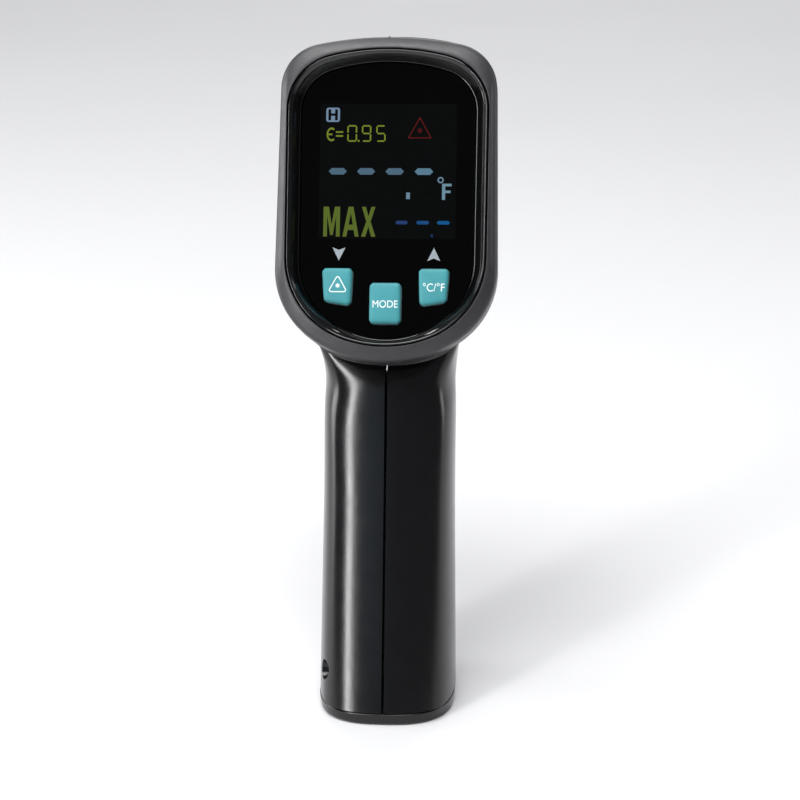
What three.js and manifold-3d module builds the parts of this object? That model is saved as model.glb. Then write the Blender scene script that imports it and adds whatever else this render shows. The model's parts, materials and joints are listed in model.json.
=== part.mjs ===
// A pistol-grip infrared thermometer, in millimetres.
// +X is the user's right, +Y is the way the lens points and +Z is up. The origin is the centre of
// the flat underside of the grip's end cap.
import * as THREE from "three";
import { mergeVertices } from "three/addons/utils/BufferGeometryUtils.js";
import Module from "manifold-3d";

const wasm = await Module();
wasm.setup();

// ---------- driving dimensions ----------
const GAP = 0.3; // between pieces that lie against each other
const SEAM = 0.3; // between the two housing halves
const WALL = 2.0; // housing wall

// Display face: a shield-shaped plane that leans back, facing the user. Its place is that of the
// middle of its lower edge.
const FACE_TILT = THREE.MathUtils.degToRad(22);
const FACE_FOOT_Y = -3.2;
const FACE_FOOT_Z = 91.5;
const FACE_WIDTH = 56.1;
const FACE_HEIGHT = 82.9;
const COLLAR_DEPTH = 10; // from its front edge to the housing
const RECESS = 3.9; // from the collar's front to the window
const WINDOW_THICKNESS = 1.5;

// Optics
const BARREL_RADIUS = 12;
const BARREL_LENGTH = 34;
const LENS_RADIUS = BARREL_RADIUS - 2;
const LASER_RADIUS = 3.4;

// Nose: the round front end that holds the lens, and the laser above it.
const NOSE_Y = 92;
const NOSE_FOOT_Z = 117.5;
const BARREL_MARGIN = 2.4; // from the wall below to the barrel
const LASER_MARGIN = 2.7; // from the barrel to the laser
const NOSE_HEIGHT = 2 * (WALL + BARREL_RADIUS + LASER_RADIUS) + BARREL_MARGIN + LASER_MARGIN + 1.5;
const NOSE_WIDTH = 2 * (WALL + BARREL_RADIUS) + 12.4;
const BEZEL_THICKNESS = 1.7;
const LENS_AXIS_Z = NOSE_FOOT_Z + WALL + BARREL_MARGIN + BARREL_RADIUS;
const LASER_AXIS_Z = LENS_AXIS_Z + BARREL_RADIUS + LASER_MARGIN + LASER_RADIUS;

// Block battery of the common 9 V size, and the grip round it
const BATTERY = { width: 26.5, depth: 17.5, height: 48.5 };
const GRIP_WIDTH = BATTERY.width + 2 * (WALL + 1.9);
const GRIP_DEPTH = 41.5; // at its foot
const NECK_Z = 84; // where the grip starts to widen into the head
const CAP_HEIGHT = 3;
const DOOR_WIDTH = BATTERY.width + 1.9;
const DOOR_TOP_Z = 70;
const HINGE = { z: 11.2, inset: 3.2, radius: 1 };
const HINGE_WIDTH = DOOR_WIDTH - 10.2; // of the door's knuckle

// Controls
const KEY_TRAVEL = 0.7;
const KEY_PROUD = 1.8; // above the window
const TRIGGER_WIDTH = 13;
const TRIGGER_TRAVEL = THREE.MathUtils.degToRad(7.5);
const PIVOT = { y: 42.5, z: 108, radius: 1.5, hub: 4.2 };
const TRIGGER_LENGTH = 29.2; // from the pivot to the tip's underside
const TRIGGER_TOP = 5.2; // the slot's height above the pivot

// ---------- finishes ----------
const finish = (color, roughness, metalness = 0) =>
  new THREE.MeshStandardMaterial({ color, roughness, metalness });
const blackSatin = () => finish(0x111214, 0.45);
const charcoal = () => finish(0x3a3b3e, 0.7);
const glossBlack = () => finish(0x070708, 0.12);
const turquoise = () => finish(0x2f9aa2, 0.6);
const board = () => finish(0x14502a, 0.5);
const steel = () => finish(0xa9acb0, 0.3, 1);
const brass = () => finish(0xb08d45, 0.3, 1);
const ivory = () => finish(0xd8d6cc, 0.6);
const redWire = () => finish(0x9c1a16, 0.5);
const blackWire = () => finish(0x0d0d0e, 0.5);

// ---------- closed meshes ----------
// A geometry from points and triangles, turned so that its faces point outwards.
function closedGeometry(points, triangles) {
  let volume = 0;
  for (const [a, b, c] of triangles) {
    volume += points[a].dot(new THREE.Vector3().crossVectors(points[b], points[c]));
  }
  const ordered = volume < 0 ? triangles.map(([a, b, c]) => [a, c, b]) : triangles;
  const geometry = new THREE.BufferGeometry().setFromPoints(points);
  geometry.setIndex(ordered.flat());
  return geometry;
}

// A geometry as a solid that can be joined and cut.
function solid(geometry) {
  const bare = geometry.clone();
  for (const name of Object.keys(bare.attributes)) {
    if (name !== "position") bare.deleteAttribute(name);
  }
  const merged = mergeVertices(bare, 1e-4);
  return new wasm.Manifold(
    new wasm.Mesh({
      numProp: 3,
      vertProperties: new Float32Array(merged.attributes.position.array),
      triVerts: new Uint32Array(merged.index.array),
    }),
  );
}

function geometryOf(body) {
  const mesh = body.getMesh();
  const places = new THREE.BufferAttribute(new Float32Array(mesh.vertProperties), 3);
  const geometry = new THREE.BufferGeometry().setAttribute("position", places);
  geometry.setIndex(new THREE.BufferAttribute(new Uint32Array(mesh.triVerts), 1));
  return geometry;
}

const join = (first, ...others) => others.reduce((sum, next) => sum.add(next), first);
const cut = (first, ...others) => others.reduce((rest, next) => rest.subtract(next), first);

function addPiece(group, name, shape, material) {
  const geometry = (shape.isBufferGeometry ? shape : geometryOf(shape)).toNonIndexed();
  geometry.computeVertexNormals();
  const mesh = new THREE.Mesh(geometry, material);
  mesh.name = name;
  group.add(mesh);
  return mesh;
}

// A closed skin through loops of equally many points: a ring where the last loop joins the first,
// and otherwise a body with a fan over each end.
function loft(loops, ring = false) {
  const count = loops[0].length;
  const points = loops.flat();
  const triangles = [];
  const bands = ring ? loops.length : loops.length - 1;
  for (let k = 0; k < bands; k++) {
    const next = (k + 1) % loops.length;
    for (let i = 0; i < count; i++) {
      const j = (i + 1) % count;
      triangles.push([k * count + i, k * count + j, next * count + j]);
      triangles.push([k * count + i, next * count + j, next * count + i]);
    }
  }
  if (!ring) {
    [0, loops.length - 1].forEach((k, end) => {
      const middle = new THREE.Vector3();
      loops[k].forEach((point) => middle.add(point));
      points.push(middle.divideScalar(count));
      for (let i = 0; i < count; i++) {
        const [a, b] = [k * count + i, k * count + ((i + 1) % count)];
        triangles.push(end ? [a, b, points.length - 1] : [b, a, points.length - 1]);
      }
    });
  }
  return solid(closedGeometry(points, triangles));
}

function box([x0, x1], [y0, y1], [z0, z1]) {
  const geometry = new THREE.BoxGeometry(x1 - x0, y1 - y0, z1 - z0);
  return solid(geometry.translate((x0 + x1) / 2, (y0 + y1) / 2, (z0 + z1) / 2));
}

// A body turned round an axis: the profile is a list of [radius, place along the axis].
function turned(axis, profile, [a, b] = [0, 0], sides = 16) {
  const outline = profile.map(([radius, along]) => new THREE.Vector2(radius, along));
  const geometry = new THREE.LatheGeometry(outline, sides);
  if (axis === "x") geometry.rotateZ(-Math.PI / 2).translate(0, a, b);
  if (axis === "y") geometry.translate(a, 0, b);
  if (axis === "z") geometry.rotateX(Math.PI / 2).translate(a, b, 0);
  const merged = solid(geometry);
  return merged.volume() < 0 ? solid(reversed(geometry)) : merged;
}

function reversed(geometry) {
  const index = geometry.index.array;
  for (let i = 0; i < index.length; i += 3) {
    [index[i + 1], index[i + 2]] = [index[i + 2], index[i + 1]];
  }
  return geometry;
}

function rod(axis, radius, [start, end], place, sides = 16) {
  return turned(axis, [[0, start], [radius, start], [radius, end], [0, end]], place, sides);
}

// A flat outline with depth along +Z from z0 to z1, with holes.
function plate(outline, [z0, z1], holes = []) {
  const shape = new THREE.Shape(outline);
  shape.holes = holes.map((hole) => new THREE.Path(hole));
  const geometry = new THREE.ExtrudeGeometry(shape, { depth: z1 - z0, bevelEnabled: false });
  return solid(geometry.translate(0, 0, z0));
}

// An outline in the YZ plane with its width along X.
function sidePlate(outline, [x0, x1]) {
  const shape = new THREE.Shape(outline);
  const geometry = new THREE.ExtrudeGeometry(shape, { depth: x1 - x0, bevelEnabled: false });
  // The outline's own x and y become Y and Z, and its depth becomes X.
  const turn = new THREE.Matrix4().makeBasis(
    new THREE.Vector3(0, 1, 0),
    new THREE.Vector3(0, 0, 1),
    new THREE.Vector3(1, 0, 0),
  );
  return solid(geometry.applyMatrix4(turn).translate(x0, 0, 0));
}

const curveThrough = (route) => new THREE.CatmullRomCurve3(route.map((p) => new THREE.Vector3(...p)));

function tube(path, radius, steps, sides) {
  const section = new THREE.Shape(circle(0, 0, radius, sides));
  const extruded = new THREE.ExtrudeGeometry(section, { steps, extrudePath: path, bevelEnabled: false });
  const body = solid(extruded);
  if (body.volume() > 0) return body;
  const bare = extruded.deleteAttribute("normal").deleteAttribute("uv");
  return solid(reversed(mergeVertices(bare)));
}

// A flat strip: a 2-D route with a thickness, given its width by depth along Z.
function strip(route, thickness, [z0, z1]) {
  const points = route.map(([x, y]) => new THREE.Vector2(x, y));
  const sides = [[], []];
  points.forEach((point, i) => {
    const before = points[Math.max(i - 1, 0)];
    const after = points[Math.min(i + 1, points.length - 1)];
    const along = after.clone().sub(before).normalize();
    const across = new THREE.Vector2(-along.y, along.x).multiplyScalar(thickness / 2);
    sides[0].push(point.clone().add(across));
    sides[1].unshift(point.clone().sub(across));
  });
  return plate(sides.flat(), [z0, z1]);
}

// ---------- outlines ----------
const ARC_STEPS = { crownTop: 2, cornerTop: 4, cornerBottom: 4, crownBottom: 4 };

// A shield: a shallow arc over the top, rounded corners, near-straight sides and a round bottom.
function shield(spec, inset = 0) {
  const top = spec.top - inset;
  const bottom = spec.bottom + inset;
  const half = spec.half - inset;
  const topHalf = spec.topHalf - inset;
  const crownTop = spec.crownTop - inset;
  const cornerTop = spec.cornerTop - inset;
  const crownBottom = spec.crownBottom - inset;
  const cornerBottom = spec.cornerBottom - inset;
  const turnTop = Math.asin((topHalf - cornerTop) / (crownTop - cornerTop));
  const turnBottom = Math.asin((half - cornerBottom) / (crownBottom - cornerBottom));
  const points = [];
  const arc = ([x, y], radius, [from, to], steps, first) => {
    for (let k = first; k <= steps; k++) {
      const angle = from + ((to - from) * k) / steps;
      points.push(new THREE.Vector2(x + radius * Math.sin(angle), y + radius * Math.cos(angle)));
    }
  };
  const quarter = Math.PI / 2;
  const topY = top - crownTop + (crownTop - cornerTop) * Math.cos(turnTop);
  const bottomY = bottom + crownBottom - (crownBottom - cornerBottom) * Math.cos(turnBottom);
  const low = Math.PI - turnBottom;
  arc([0, top - crownTop], crownTop, [0, turnTop], ARC_STEPS.crownTop, 0);
  arc([topHalf - cornerTop, topY], cornerTop, [turnTop, quarter], ARC_STEPS.cornerTop, 1);
  arc([half - cornerBottom, bottomY], cornerBottom, [quarter, low], ARC_STEPS.cornerBottom, 0);
  arc([0, bottom + crownBottom], crownBottom, [low, Math.PI], ARC_STEPS.crownBottom, 1);
  const mirrored = points.slice(1, -1).reverse().map((p) => new THREE.Vector2(-p.x, p.y));
  return [...points, ...mirrored].reverse();
}

const collarLine = {
  top: FACE_HEIGHT / 2,
  bottom: -FACE_HEIGHT / 2,
  half: FACE_WIDTH / 2,
  topHalf: FACE_WIDTH / 2 - 0.65,
  crownTop: 90,
  cornerTop: 11.6,
  crownBottom: 32.4,
  cornerBottom: 21.7,
};
const frameLine = {
  top: collarLine.top - 3.6,
  bottom: collarLine.bottom + 4.0,
  half: collarLine.half - 2.95,
  topHalf: collarLine.half - 2.75,
  crownTop: 62,
  cornerTop: 14,
  crownBottom: 32,
  cornerBottom: 22,
};
const windowLine = {
  top: frameLine.top - 2.5,
  bottom: frameLine.bottom + 1.8,
  half: frameLine.half - 3.0,
  topHalf: frameLine.half - 2.8,
  crownTop: 49,
  cornerTop: 11,
  crownBottom: 23.5,
  cornerBottom: 18,
};

const atDepth = (outline, z) => outline.map((p) => new THREE.Vector3(p.x, p.y, z));

function circle(x, y, radius, sides = 14) {
  const points = [];
  for (let k = 0; k < sides; k++) {
    const angle = (2 * Math.PI * k) / sides;
    points.push(new THREE.Vector2(x + radius * Math.cos(angle), y + radius * Math.sin(angle)));
  }
  return points;
}

// A polygon, listed anticlockwise, moved inwards and with its corners rounded.
function roundedPolygon(corners, radius, inset = 0, steps = 3) {
  const count = corners.length;
  const moved = corners.map((corner, i) => {
    const before = corners[(i + count - 1) % count];
    const after = corners[(i + 1) % count];
    const into = new THREE.Vector2(corner[0] - before[0], corner[1] - before[1]).normalize();
    const out = new THREE.Vector2(after[0] - corner[0], after[1] - corner[1]).normalize();
    const normal = new THREE.Vector2(-into.y - out.y, into.x + out.x).normalize();
    const stretch = inset / normal.dot(new THREE.Vector2(-into.y, into.x));
    return new THREE.Vector2(corner[0] + normal.x * stretch, corner[1] + normal.y * stretch);
  });
  const bend = Math.max(radius - inset, 0.25);
  const points = [];
  moved.forEach((corner, i) => {
    const back = moved[(i + count - 1) % count].clone().sub(corner).normalize();
    const on = moved[(i + 1) % count].clone().sub(corner).normalize();
    const half = Math.acos(THREE.MathUtils.clamp(back.dot(on), -1, 1)) / 2;
    const bisector = back.clone().add(on).normalize();
    const centre = corner.clone().addScaledVector(bisector, bend / Math.sin(half));
    const start = corner.clone().addScaledVector(back, bend / Math.tan(half)).sub(centre);
    const sweep = Math.PI - 2 * half;
    for (let k = 0; k <= steps; k++) {
      points.push(start.clone().rotateAround(new THREE.Vector2(), (sweep * k) / steps).add(centre));
    }
  });
  return points;
}

const rectangle = (x0, x1, y0, y1) => [[x0, y0], [x1, y0], [x1, y1], [x0, y1]];

// ---------- housing surface ----------
// The head is a row of rings from the display rim to the nose, and the grip is a row of rings that
// starts from a gap in the head's underside. Together they are one cage of four-sided faces.
const HEAD_POINTS = 16;
const GRIP_POINTS = 12;
const HEAD_BOTTOM_AT = [0, 0.045, 0.22, 0.43, 0.6, 0.78, 0.94, 1];
const HEAD_TOP_AT = [0, 0.08, 0.25, 0.43, 0.6, 0.78, 0.94, 1];
const HEAD_WIDTH_SHARE = [0.94, 0.94, 0.87, 0.72, 0.48, 0.22, 0.05, 0]; // 1 is the face, 0 the nose
const HEAD_TOP_POWER = [5, 4.8, 4.3, 3.8, 3.3, 2.8, 2.4, 2.3];
const HEAD_BOTTOM_POWER = [2.65, 2.6, 2.5, 2.4, 2.3, 2.25, 2.2, 2.2];
const GRIP_POWER = 2.8;
const RIM_Z = CAP_HEIGHT + GAP;
const GRIP_LEVELS = [NECK_Z, 75, 58, 39, 20, 8, RIM_Z];
const GRIP_FLARE = [0, -0.1, -0.1, 0.05, 0.3, 0.45, 0.5]; // added to the half width
const SHELL_NOSE_Y = NOSE_Y - BEZEL_THICKNESS - GAP;

const faceUp = new THREE.Vector2(Math.sin(FACE_TILT), Math.cos(FACE_TILT)); // in Y and Z
const faceOut = new THREE.Vector2(-Math.cos(FACE_TILT), Math.sin(FACE_TILT));

const faceMiddle = new THREE.Vector2(FACE_FOOT_Y, FACE_FOOT_Z).addScaledVector(faceUp, FACE_HEIGHT / 2);

// A point of the middle plane, from its height up the face and its distance out of it.
function onFace(up, out) {
  return faceMiddle.clone().addScaledVector(faceUp, up).addScaledVector(faceOut, out);
}

const rimOut = -COLLAR_DEPTH - GAP;
const rimBottom = onFace(-FACE_HEIGHT / 2, rimOut);
const rimTop = onFace(FACE_HEIGHT / 2, rimOut);
const noseBottom = new THREE.Vector2(SHELL_NOSE_Y, NOSE_FOOT_Z);
const noseTop = new THREE.Vector2(SHELL_NOSE_Y, NOSE_FOOT_Z + NOSE_HEIGHT);
const bellyPull = new THREE.Vector2(
  THREE.MathUtils.lerp(rimBottom.x, noseBottom.x, 0.46),
  THREE.MathUtils.lerp(rimBottom.y, noseBottom.y, 0.57),
);
const crownPull = new THREE.Vector2(THREE.MathUtils.lerp(rimTop.x, noseTop.x, 0.34), rimTop.y + 0.1);
const headBottom = new THREE.QuadraticBezierCurve(rimBottom, bellyPull, noseBottom);
const headTop = new THREE.QuadraticBezierCurve(rimTop, crownPull, noseTop);

const power = (value, exponent) => Math.sign(value) * Math.abs(value) ** exponent;

// Anticlockwise from the bottom, seen along +Y with +X to the right.
function headRing(k, count = HEAD_POINTS, inset = 0) {
  const low = headBottom.getPoint(HEAD_BOTTOM_AT[k]);
  const high = headTop.getPoint(HEAD_TOP_AT[k]);
  const middle = low.clone().add(high).divideScalar(2);
  const up = high.clone().sub(low).divideScalar(2);
  const shrink = 1 - inset / up.length();
  const half = NOSE_WIDTH / 2 + ((FACE_WIDTH - NOSE_WIDTH) / 2) * HEAD_WIDTH_SHARE[k] - inset;
  const points = [];
  for (let i = 0; i < count; i++) {
    const angle = (2 * Math.PI * i) / count;
    const exponent = 2 / (Math.cos(angle) > 0 ? HEAD_BOTTOM_POWER[k] : HEAD_TOP_POWER[k]);
    const rise = -power(Math.cos(angle), exponent) * shrink;
    const x = half * power(Math.sin(angle), exponent);
    points.push(new THREE.Vector3(x, middle.x + up.x * rise, middle.y + up.y * rise));
  }
  return points;
}

// The grip leans back towards its foot, and its front is slightly hollow.
const GRIP_LEAN = 0.316;
const REAR_FOOT_Y = -21.2;
const gripRear = (z) => REAR_FOOT_Y + GRIP_LEAN * z;
const gripFront = (z) => REAR_FOOT_Y + GRIP_DEPTH + 0.155 * z + 0.0008 * z * z;

function gripFlare(z) {
  const k = GRIP_LEVELS.findIndex((level) => level <= z);
  if (k <= 0) return GRIP_FLARE[k < 0 ? GRIP_FLARE.length - 1 : 0];
  const share = (GRIP_LEVELS[k - 1] - z) / (GRIP_LEVELS[k - 1] - GRIP_LEVELS[k]);
  return THREE.MathUtils.lerp(GRIP_FLARE[k - 1], GRIP_FLARE[k], share);
}

// From the rear centre towards +X.
function gripRing(z, count = GRIP_POINTS, inset = 0) {
  const middle = (gripRear(z) + gripFront(z)) / 2;
  const depth = (gripFront(z) - gripRear(z)) / 2 - inset;
  const half = GRIP_WIDTH / 2 + gripFlare(z) - inset;
  const points = [];
  for (let i = 0; i < count; i++) {
    const angle = (2 * Math.PI * i) / count;
    const x = half * power(Math.sin(angle), 2 / GRIP_POWER);
    points.push(new THREE.Vector3(x, middle - depth * power(Math.cos(angle), 2 / GRIP_POWER), z));
  }
  return points;
}

// The cage: points that the surface passes through, and its four-sided faces.
function housingCage() {
  const points = [];
  const quads = [];
  const head = HEAD_BOTTOM_AT.map((_, k) => headRing(k).map((point) => points.push(point) - 1));
  const inGap = (k, i) => (k === 1 || k === 2) && (i < 2 || i >= HEAD_POINTS - 2);
  for (let k = 0; k < head.length - 1; k++) {
    for (let i = 0; i < HEAD_POINTS; i++) {
      const j = (i + 1) % HEAD_POINTS;
      if (!inGap(k, i)) quads.push([head[k][i], head[k + 1][i], head[k + 1][j], head[k][j]]);
    }
  }
  const last = HEAD_POINTS;
  const [rear, side, fore] = head.slice(1, 4);
  const mouth = [rear[0], rear[1], rear[2], side[2], fore[2], fore[1], fore[0]];
  mouth.push(fore[last - 1], fore[last - 2], side[last - 2], rear[last - 2], rear[last - 1]);
  const grip = [mouth, ...GRIP_LEVELS.map((z) => gripRing(z).map((point) => points.push(point) - 1))];
  for (let k = 0; k < grip.length - 1; k++) {
    for (let i = 0; i < GRIP_POINTS; i++) {
      const j = (i + 1) % GRIP_POINTS;
      quads.push([grip[k][i], grip[k + 1][i], grip[k + 1][j], grip[k][j]]);
    }
  }
  // The second head ring's points inside the gap belong to no face.
  const used = new Set(quads.flat());
  const place = new Map([...used].sort((a, b) => a - b).map((old, now) => [old, now]));
  return {
    points: [...place.keys()].map((old) => points[old]),
    quads: quads.map((quad) => quad.map((old) => place.get(old))),
  };
}

// Which faces and edges meet at each point and edge of a mesh of four-sided faces.
function neighbours({ points, quads }) {
  const edges = new Map();
  const corners = points.map(() => ({ edges: [], faces: [], opposite: [] }));
  quads.forEach((quad, face) => {
    quad.forEach((a, i) => {
      const b = quad[(i + 1) % 4];
      const key = Math.min(a, b) * points.length + Math.max(a, b);
      if (!edges.has(key)) {
        edges.set(key, { a, b, faces: [], index: edges.size });
        corners[a].edges.push(key);
        corners[b].edges.push(key);
      }
      edges.get(key).faces.push(face);
      corners[a].faces.push(face);
      corners[a].opposite.push(quad[(i + 2) % 4]);
    });
  });
  return { edges, corners };
}

const otherEnd = (edge, point) => (edge.a === point ? edge.b : edge.a);

// Where each point of the cage comes to lie on the smooth surface.
function limitPoints(mesh, { edges, corners }) {
  return mesh.points.map((point, i) => {
    const around = corners[i].edges.map((key) => edges.get(key));
    const rim = around.filter((edge) => edge.faces.length === 1);
    if (rim.length) {
      const sum = point.clone().multiplyScalar(4);
      rim.forEach((edge) => sum.add(mesh.points[otherEnd(edge, i)]));
      return sum.divideScalar(6);
    }
    const n = around.length;
    const sum = point.clone().multiplyScalar(n * n);
    around.forEach((edge) => sum.addScaledVector(mesh.points[otherEnd(edge, i)], 4));
    corners[i].opposite.forEach((j) => sum.add(mesh.points[j]));
    return sum.divideScalar(n * (n + 5));
  });
}

// Moves the cage's points until the smooth surface passes through where they were.
function fitted(mesh) {
  const links = neighbours(mesh);
  const cage = { points: mesh.points.map((p) => p.clone()), quads: mesh.quads };
  for (let round = 0; round < 60; round++) {
    const reached = limitPoints(cage, links);
    cage.points.forEach((p, i) => p.add(mesh.points[i]).sub(reached[i]));
  }
  return cage;
}

// One step of Catmull-Clark subdivision, with open edges kept as smooth curves.
function subdivided(mesh) {
  const { edges, corners } = neighbours(mesh);
  const at = (i) => mesh.points[i];
  const total = (list) => list.reduce((sum, p) => sum.add(p), new THREE.Vector3());
  const mean = (list) => total(list).divideScalar(list.length);
  const faceMiddles = mesh.quads.map((quad) => mean(quad.map(at)));
  const edgeList = [...edges.values()];
  const edgeMiddles = edgeList.map((edge) => {
    const ends = mean([at(edge.a), at(edge.b)]);
    if (edge.faces.length === 1) return ends;
    return mean([ends, mean(edge.faces.map((face) => faceMiddles[face]))]);
  });
  const moved = mesh.points.map((point, i) => {
    const around = corners[i].edges.map((key) => edges.get(key));
    const rim = around.filter((edge) => edge.faces.length === 1);
    if (rim.length) {
      const sum = point.clone().multiplyScalar(6);
      rim.forEach((edge) => sum.add(at(otherEnd(edge, i))));
      return sum.divideScalar(8);
    }
    const n = around.length;
    const faces = mean(corners[i].faces.map((face) => faceMiddles[face]));
    const middles = mean(around.map((edge) => mean([at(edge.a), at(edge.b)])));
    return faces.addScaledVector(middles, 2).addScaledVector(point, n - 3).divideScalar(n);
  });
  const edgeStart = moved.length;
  const faceStart = edgeStart + edgeMiddles.length;
  const edgeIndex = (a, b) => {
    const key = Math.min(a, b) * mesh.points.length + Math.max(a, b);
    return edgeStart + edges.get(key).index;
  };
  const quads = mesh.quads.flatMap((quad, face) =>
    quad.map((corner, i) => [
      corner,
      edgeIndex(corner, quad[(i + 1) % 4]),
      faceStart + face,
      edgeIndex(quad[(i + 3) % 4], corner),
    ]),
  );
  return { points: [...moved, ...edgeMiddles, ...faceMiddles], quads };
}

// Rim edges of an open mesh, joined end to end into closed loops.
function rims(mesh) {
  const next = new Map();
  const { edges } = neighbours(mesh);
  mesh.quads.forEach((quad) => {
    quad.forEach((a, i) => {
      const b = quad[(i + 1) % 4];
      const key = Math.min(a, b) * mesh.points.length + Math.max(a, b);
      if (edges.get(key).faces.length === 1) next.set(a, b);
    });
  });
  const loops = [];
  while (next.size) {
    const loop = [];
    let at = next.keys().next().value;
    while (next.has(at)) {
      loop.push(at);
      const following = next.get(at);
      next.delete(at);
      at = following;
    }
    loops.push(loop);
  }
  return loops;
}

function pointNormals(mesh) {
  const normals = mesh.points.map(() => new THREE.Vector3());
  mesh.quads.forEach(([a, b, c, d]) => {
    const one = mesh.points[c].clone().sub(mesh.points[a]);
    const two = mesh.points[d].clone().sub(mesh.points[b]);
    const across = one.cross(two);
    [a, b, c, d].forEach((i) => normals[i].add(across));
  });
  // A rim stays in its own plane.
  rims(mesh).forEach((loop) => {
    const plane = new THREE.Vector3();
    loop.forEach((a, i) => {
      const b = loop[(i + 1) % loop.length];
      plane.add(new THREE.Vector3().crossVectors(mesh.points[a], mesh.points[b]));
    });
    plane.normalize();
    loop.forEach((i) => normals[i].addScaledVector(plane, -normals[i].dot(plane)));
  });
  return normals.map((normal) => normal.normalize());
}

const splitQuads = (quads) => quads.flatMap(([a, b, c, d]) => [[a, b, c], [a, c, d]]);

function housingSurface(steps) {
  let mesh = fitted(housingCage());
  for (let k = 0; k < steps; k++) mesh = subdivided(mesh);
  return { points: limitPoints(mesh, neighbours(mesh)), quads: mesh.quads };
}

const surface = housingSurface(1);
const surfaceRims = rims(surface);

// The outer surface moved inwards by a distance.
function innerPoints(distance) {
  const normals = pointNormals(surface);
  return surface.points.map((p, i) => p.clone().addScaledVector(normals[i], -distance));
}

// The full volume inside the outer surface, or inside a surface within the wall.
function filledHousing(inset = 0) {
  const points = innerPoints(inset);
  const triangles = splitQuads(surface.quads);
  surfaceRims.forEach((loop) => {
    const middle = new THREE.Vector3();
    loop.forEach((i) => middle.add(points[i]));
    points.push(middle.divideScalar(loop.length));
    loop.forEach((a, i) => triangles.push([loop[(i + 1) % loop.length], a, points.length - 1]));
  });
  return solid(closedGeometry(points, triangles));
}

function housingWall(thickness) {
  const count = surface.points.length;
  const inner = innerPoints(thickness);
  const lining = surface.quads.map((quad) => quad.map((i) => i + count).reverse());
  const quads = [...surface.quads, ...lining];
  surfaceRims.forEach((loop) => {
    loop.forEach((a, i) => {
      const b = loop[(i + 1) % loop.length];
      quads.push([b, a, a + count, b + count]);
    });
  });
  return solid(closedGeometry([...surface.points, ...inner], splitQuads(quads)));
}

const filled = filledHousing();
const core = filledHousing(WALL / 2);
const wall = housingWall(WALL);

// ---------- places inside the housing ----------
const FAR = 200; // beyond the whole object
const BOSS_RADIUS = 3.5; // of the housing screws' bosses
const SCREW = { head: 2.3, shaft: 1.3, headHeight: 1.9, seatX: -6, tipX: 8 };
const BOARD_X = [-9.6, -8]; // the main board stands beside the middle plane
const BARREL_FRONT_Y = NOSE_Y - 5.8;
const BARREL_REAR_Y = BARREL_FRONT_Y - BARREL_LENGTH;
const LASER_Y = [NOSE_Y - 21, NOSE_Y - 6];
const HOUSING_SCREWS = [
  { y: BARREL_REAR_Y + 7.8, z: LENS_AXIS_Z + BARREL_RADIUS + BOSS_RADIUS + 3 },
  { y: BARREL_REAR_Y + 13.8, z: LENS_AXIS_Z - BARREL_RADIUS - BOSS_RADIUS - 2 },
  { y: gripFront(DOOR_TOP_Z) - 8.1, z: DOOR_TOP_Z + BOSS_RADIUS + 0.5 },
  { y: gripRear(11) + WALL + 5.2, z: 11 },
];
const SPRING = { x: 3.4, z: PIVOT.z - 23.5, radius: 2.4, wire: 0.4, turns: 5 };
const TRIGGER_BACK_Y = PIVOT.y - 9.3;
const SPRING_SEAT_Y = TRIGGER_BACK_Y - 13.9;
const SWITCH_Y = TRIGGER_BACK_Y - 5.7;
const SWITCH = { x: -4.7, z: PIVOT.z - 13.5, y: [SWITCH_Y - 6, SWITCH_Y], half: 3 };
const BOARD_FRONT_Y = PIVOT.y + 5; // the main board's front edge
const BOARD_TOP_Z = LENS_AXIS_Z + 19.6;
const BOARD_POSTS = [
  { y: BOARD_FRONT_Y - 4, z: PIVOT.z + 11.5 },
  { y: BOARD_FRONT_Y - 3, z: BOARD_TOP_Z - 3.5 },
];
const hingeY = gripFront(HINGE.z) - HINGE.inset;
const slotHalf = TRIGGER_WIDTH / 2 + 0.4;
const PIN_HALF = TRIGGER_WIDTH / 2 + 6.5;
const HINGE_PIN_HALF = DOOR_WIDTH / 2 - 1.4;
const slotZ = [PIVOT.z - TRIGGER_LENGTH - 1.6, PIVOT.z + TRIGGER_TOP];

// ---------- housing halves ----------
// Ribs and bosses run from the middle plane into the wall, where the core trims them.
const RIB_THICKNESS = 1.6;

function ringRib(y0) {
  const y = [y0, y0 + RIB_THICKNESS];
  const through = [y[0] - 1, y[1] + 1];
  return cut(
    box([-FAR, FAR], y, [LENS_AXIS_Z - FAR, LENS_AXIS_Z + FAR]),
    rod("y", BARREL_RADIUS + 0.5, through, [0, LENS_AXIS_Z], 16),
    rod("y", LASER_RADIUS + 0.4, through, [0, LASER_AXIS_Z], 10),
    box([-FAR, FAR], through, [LASER_AXIS_Z + LASER_RADIUS + 0.5, FAR * 2]),
  );
}

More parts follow.
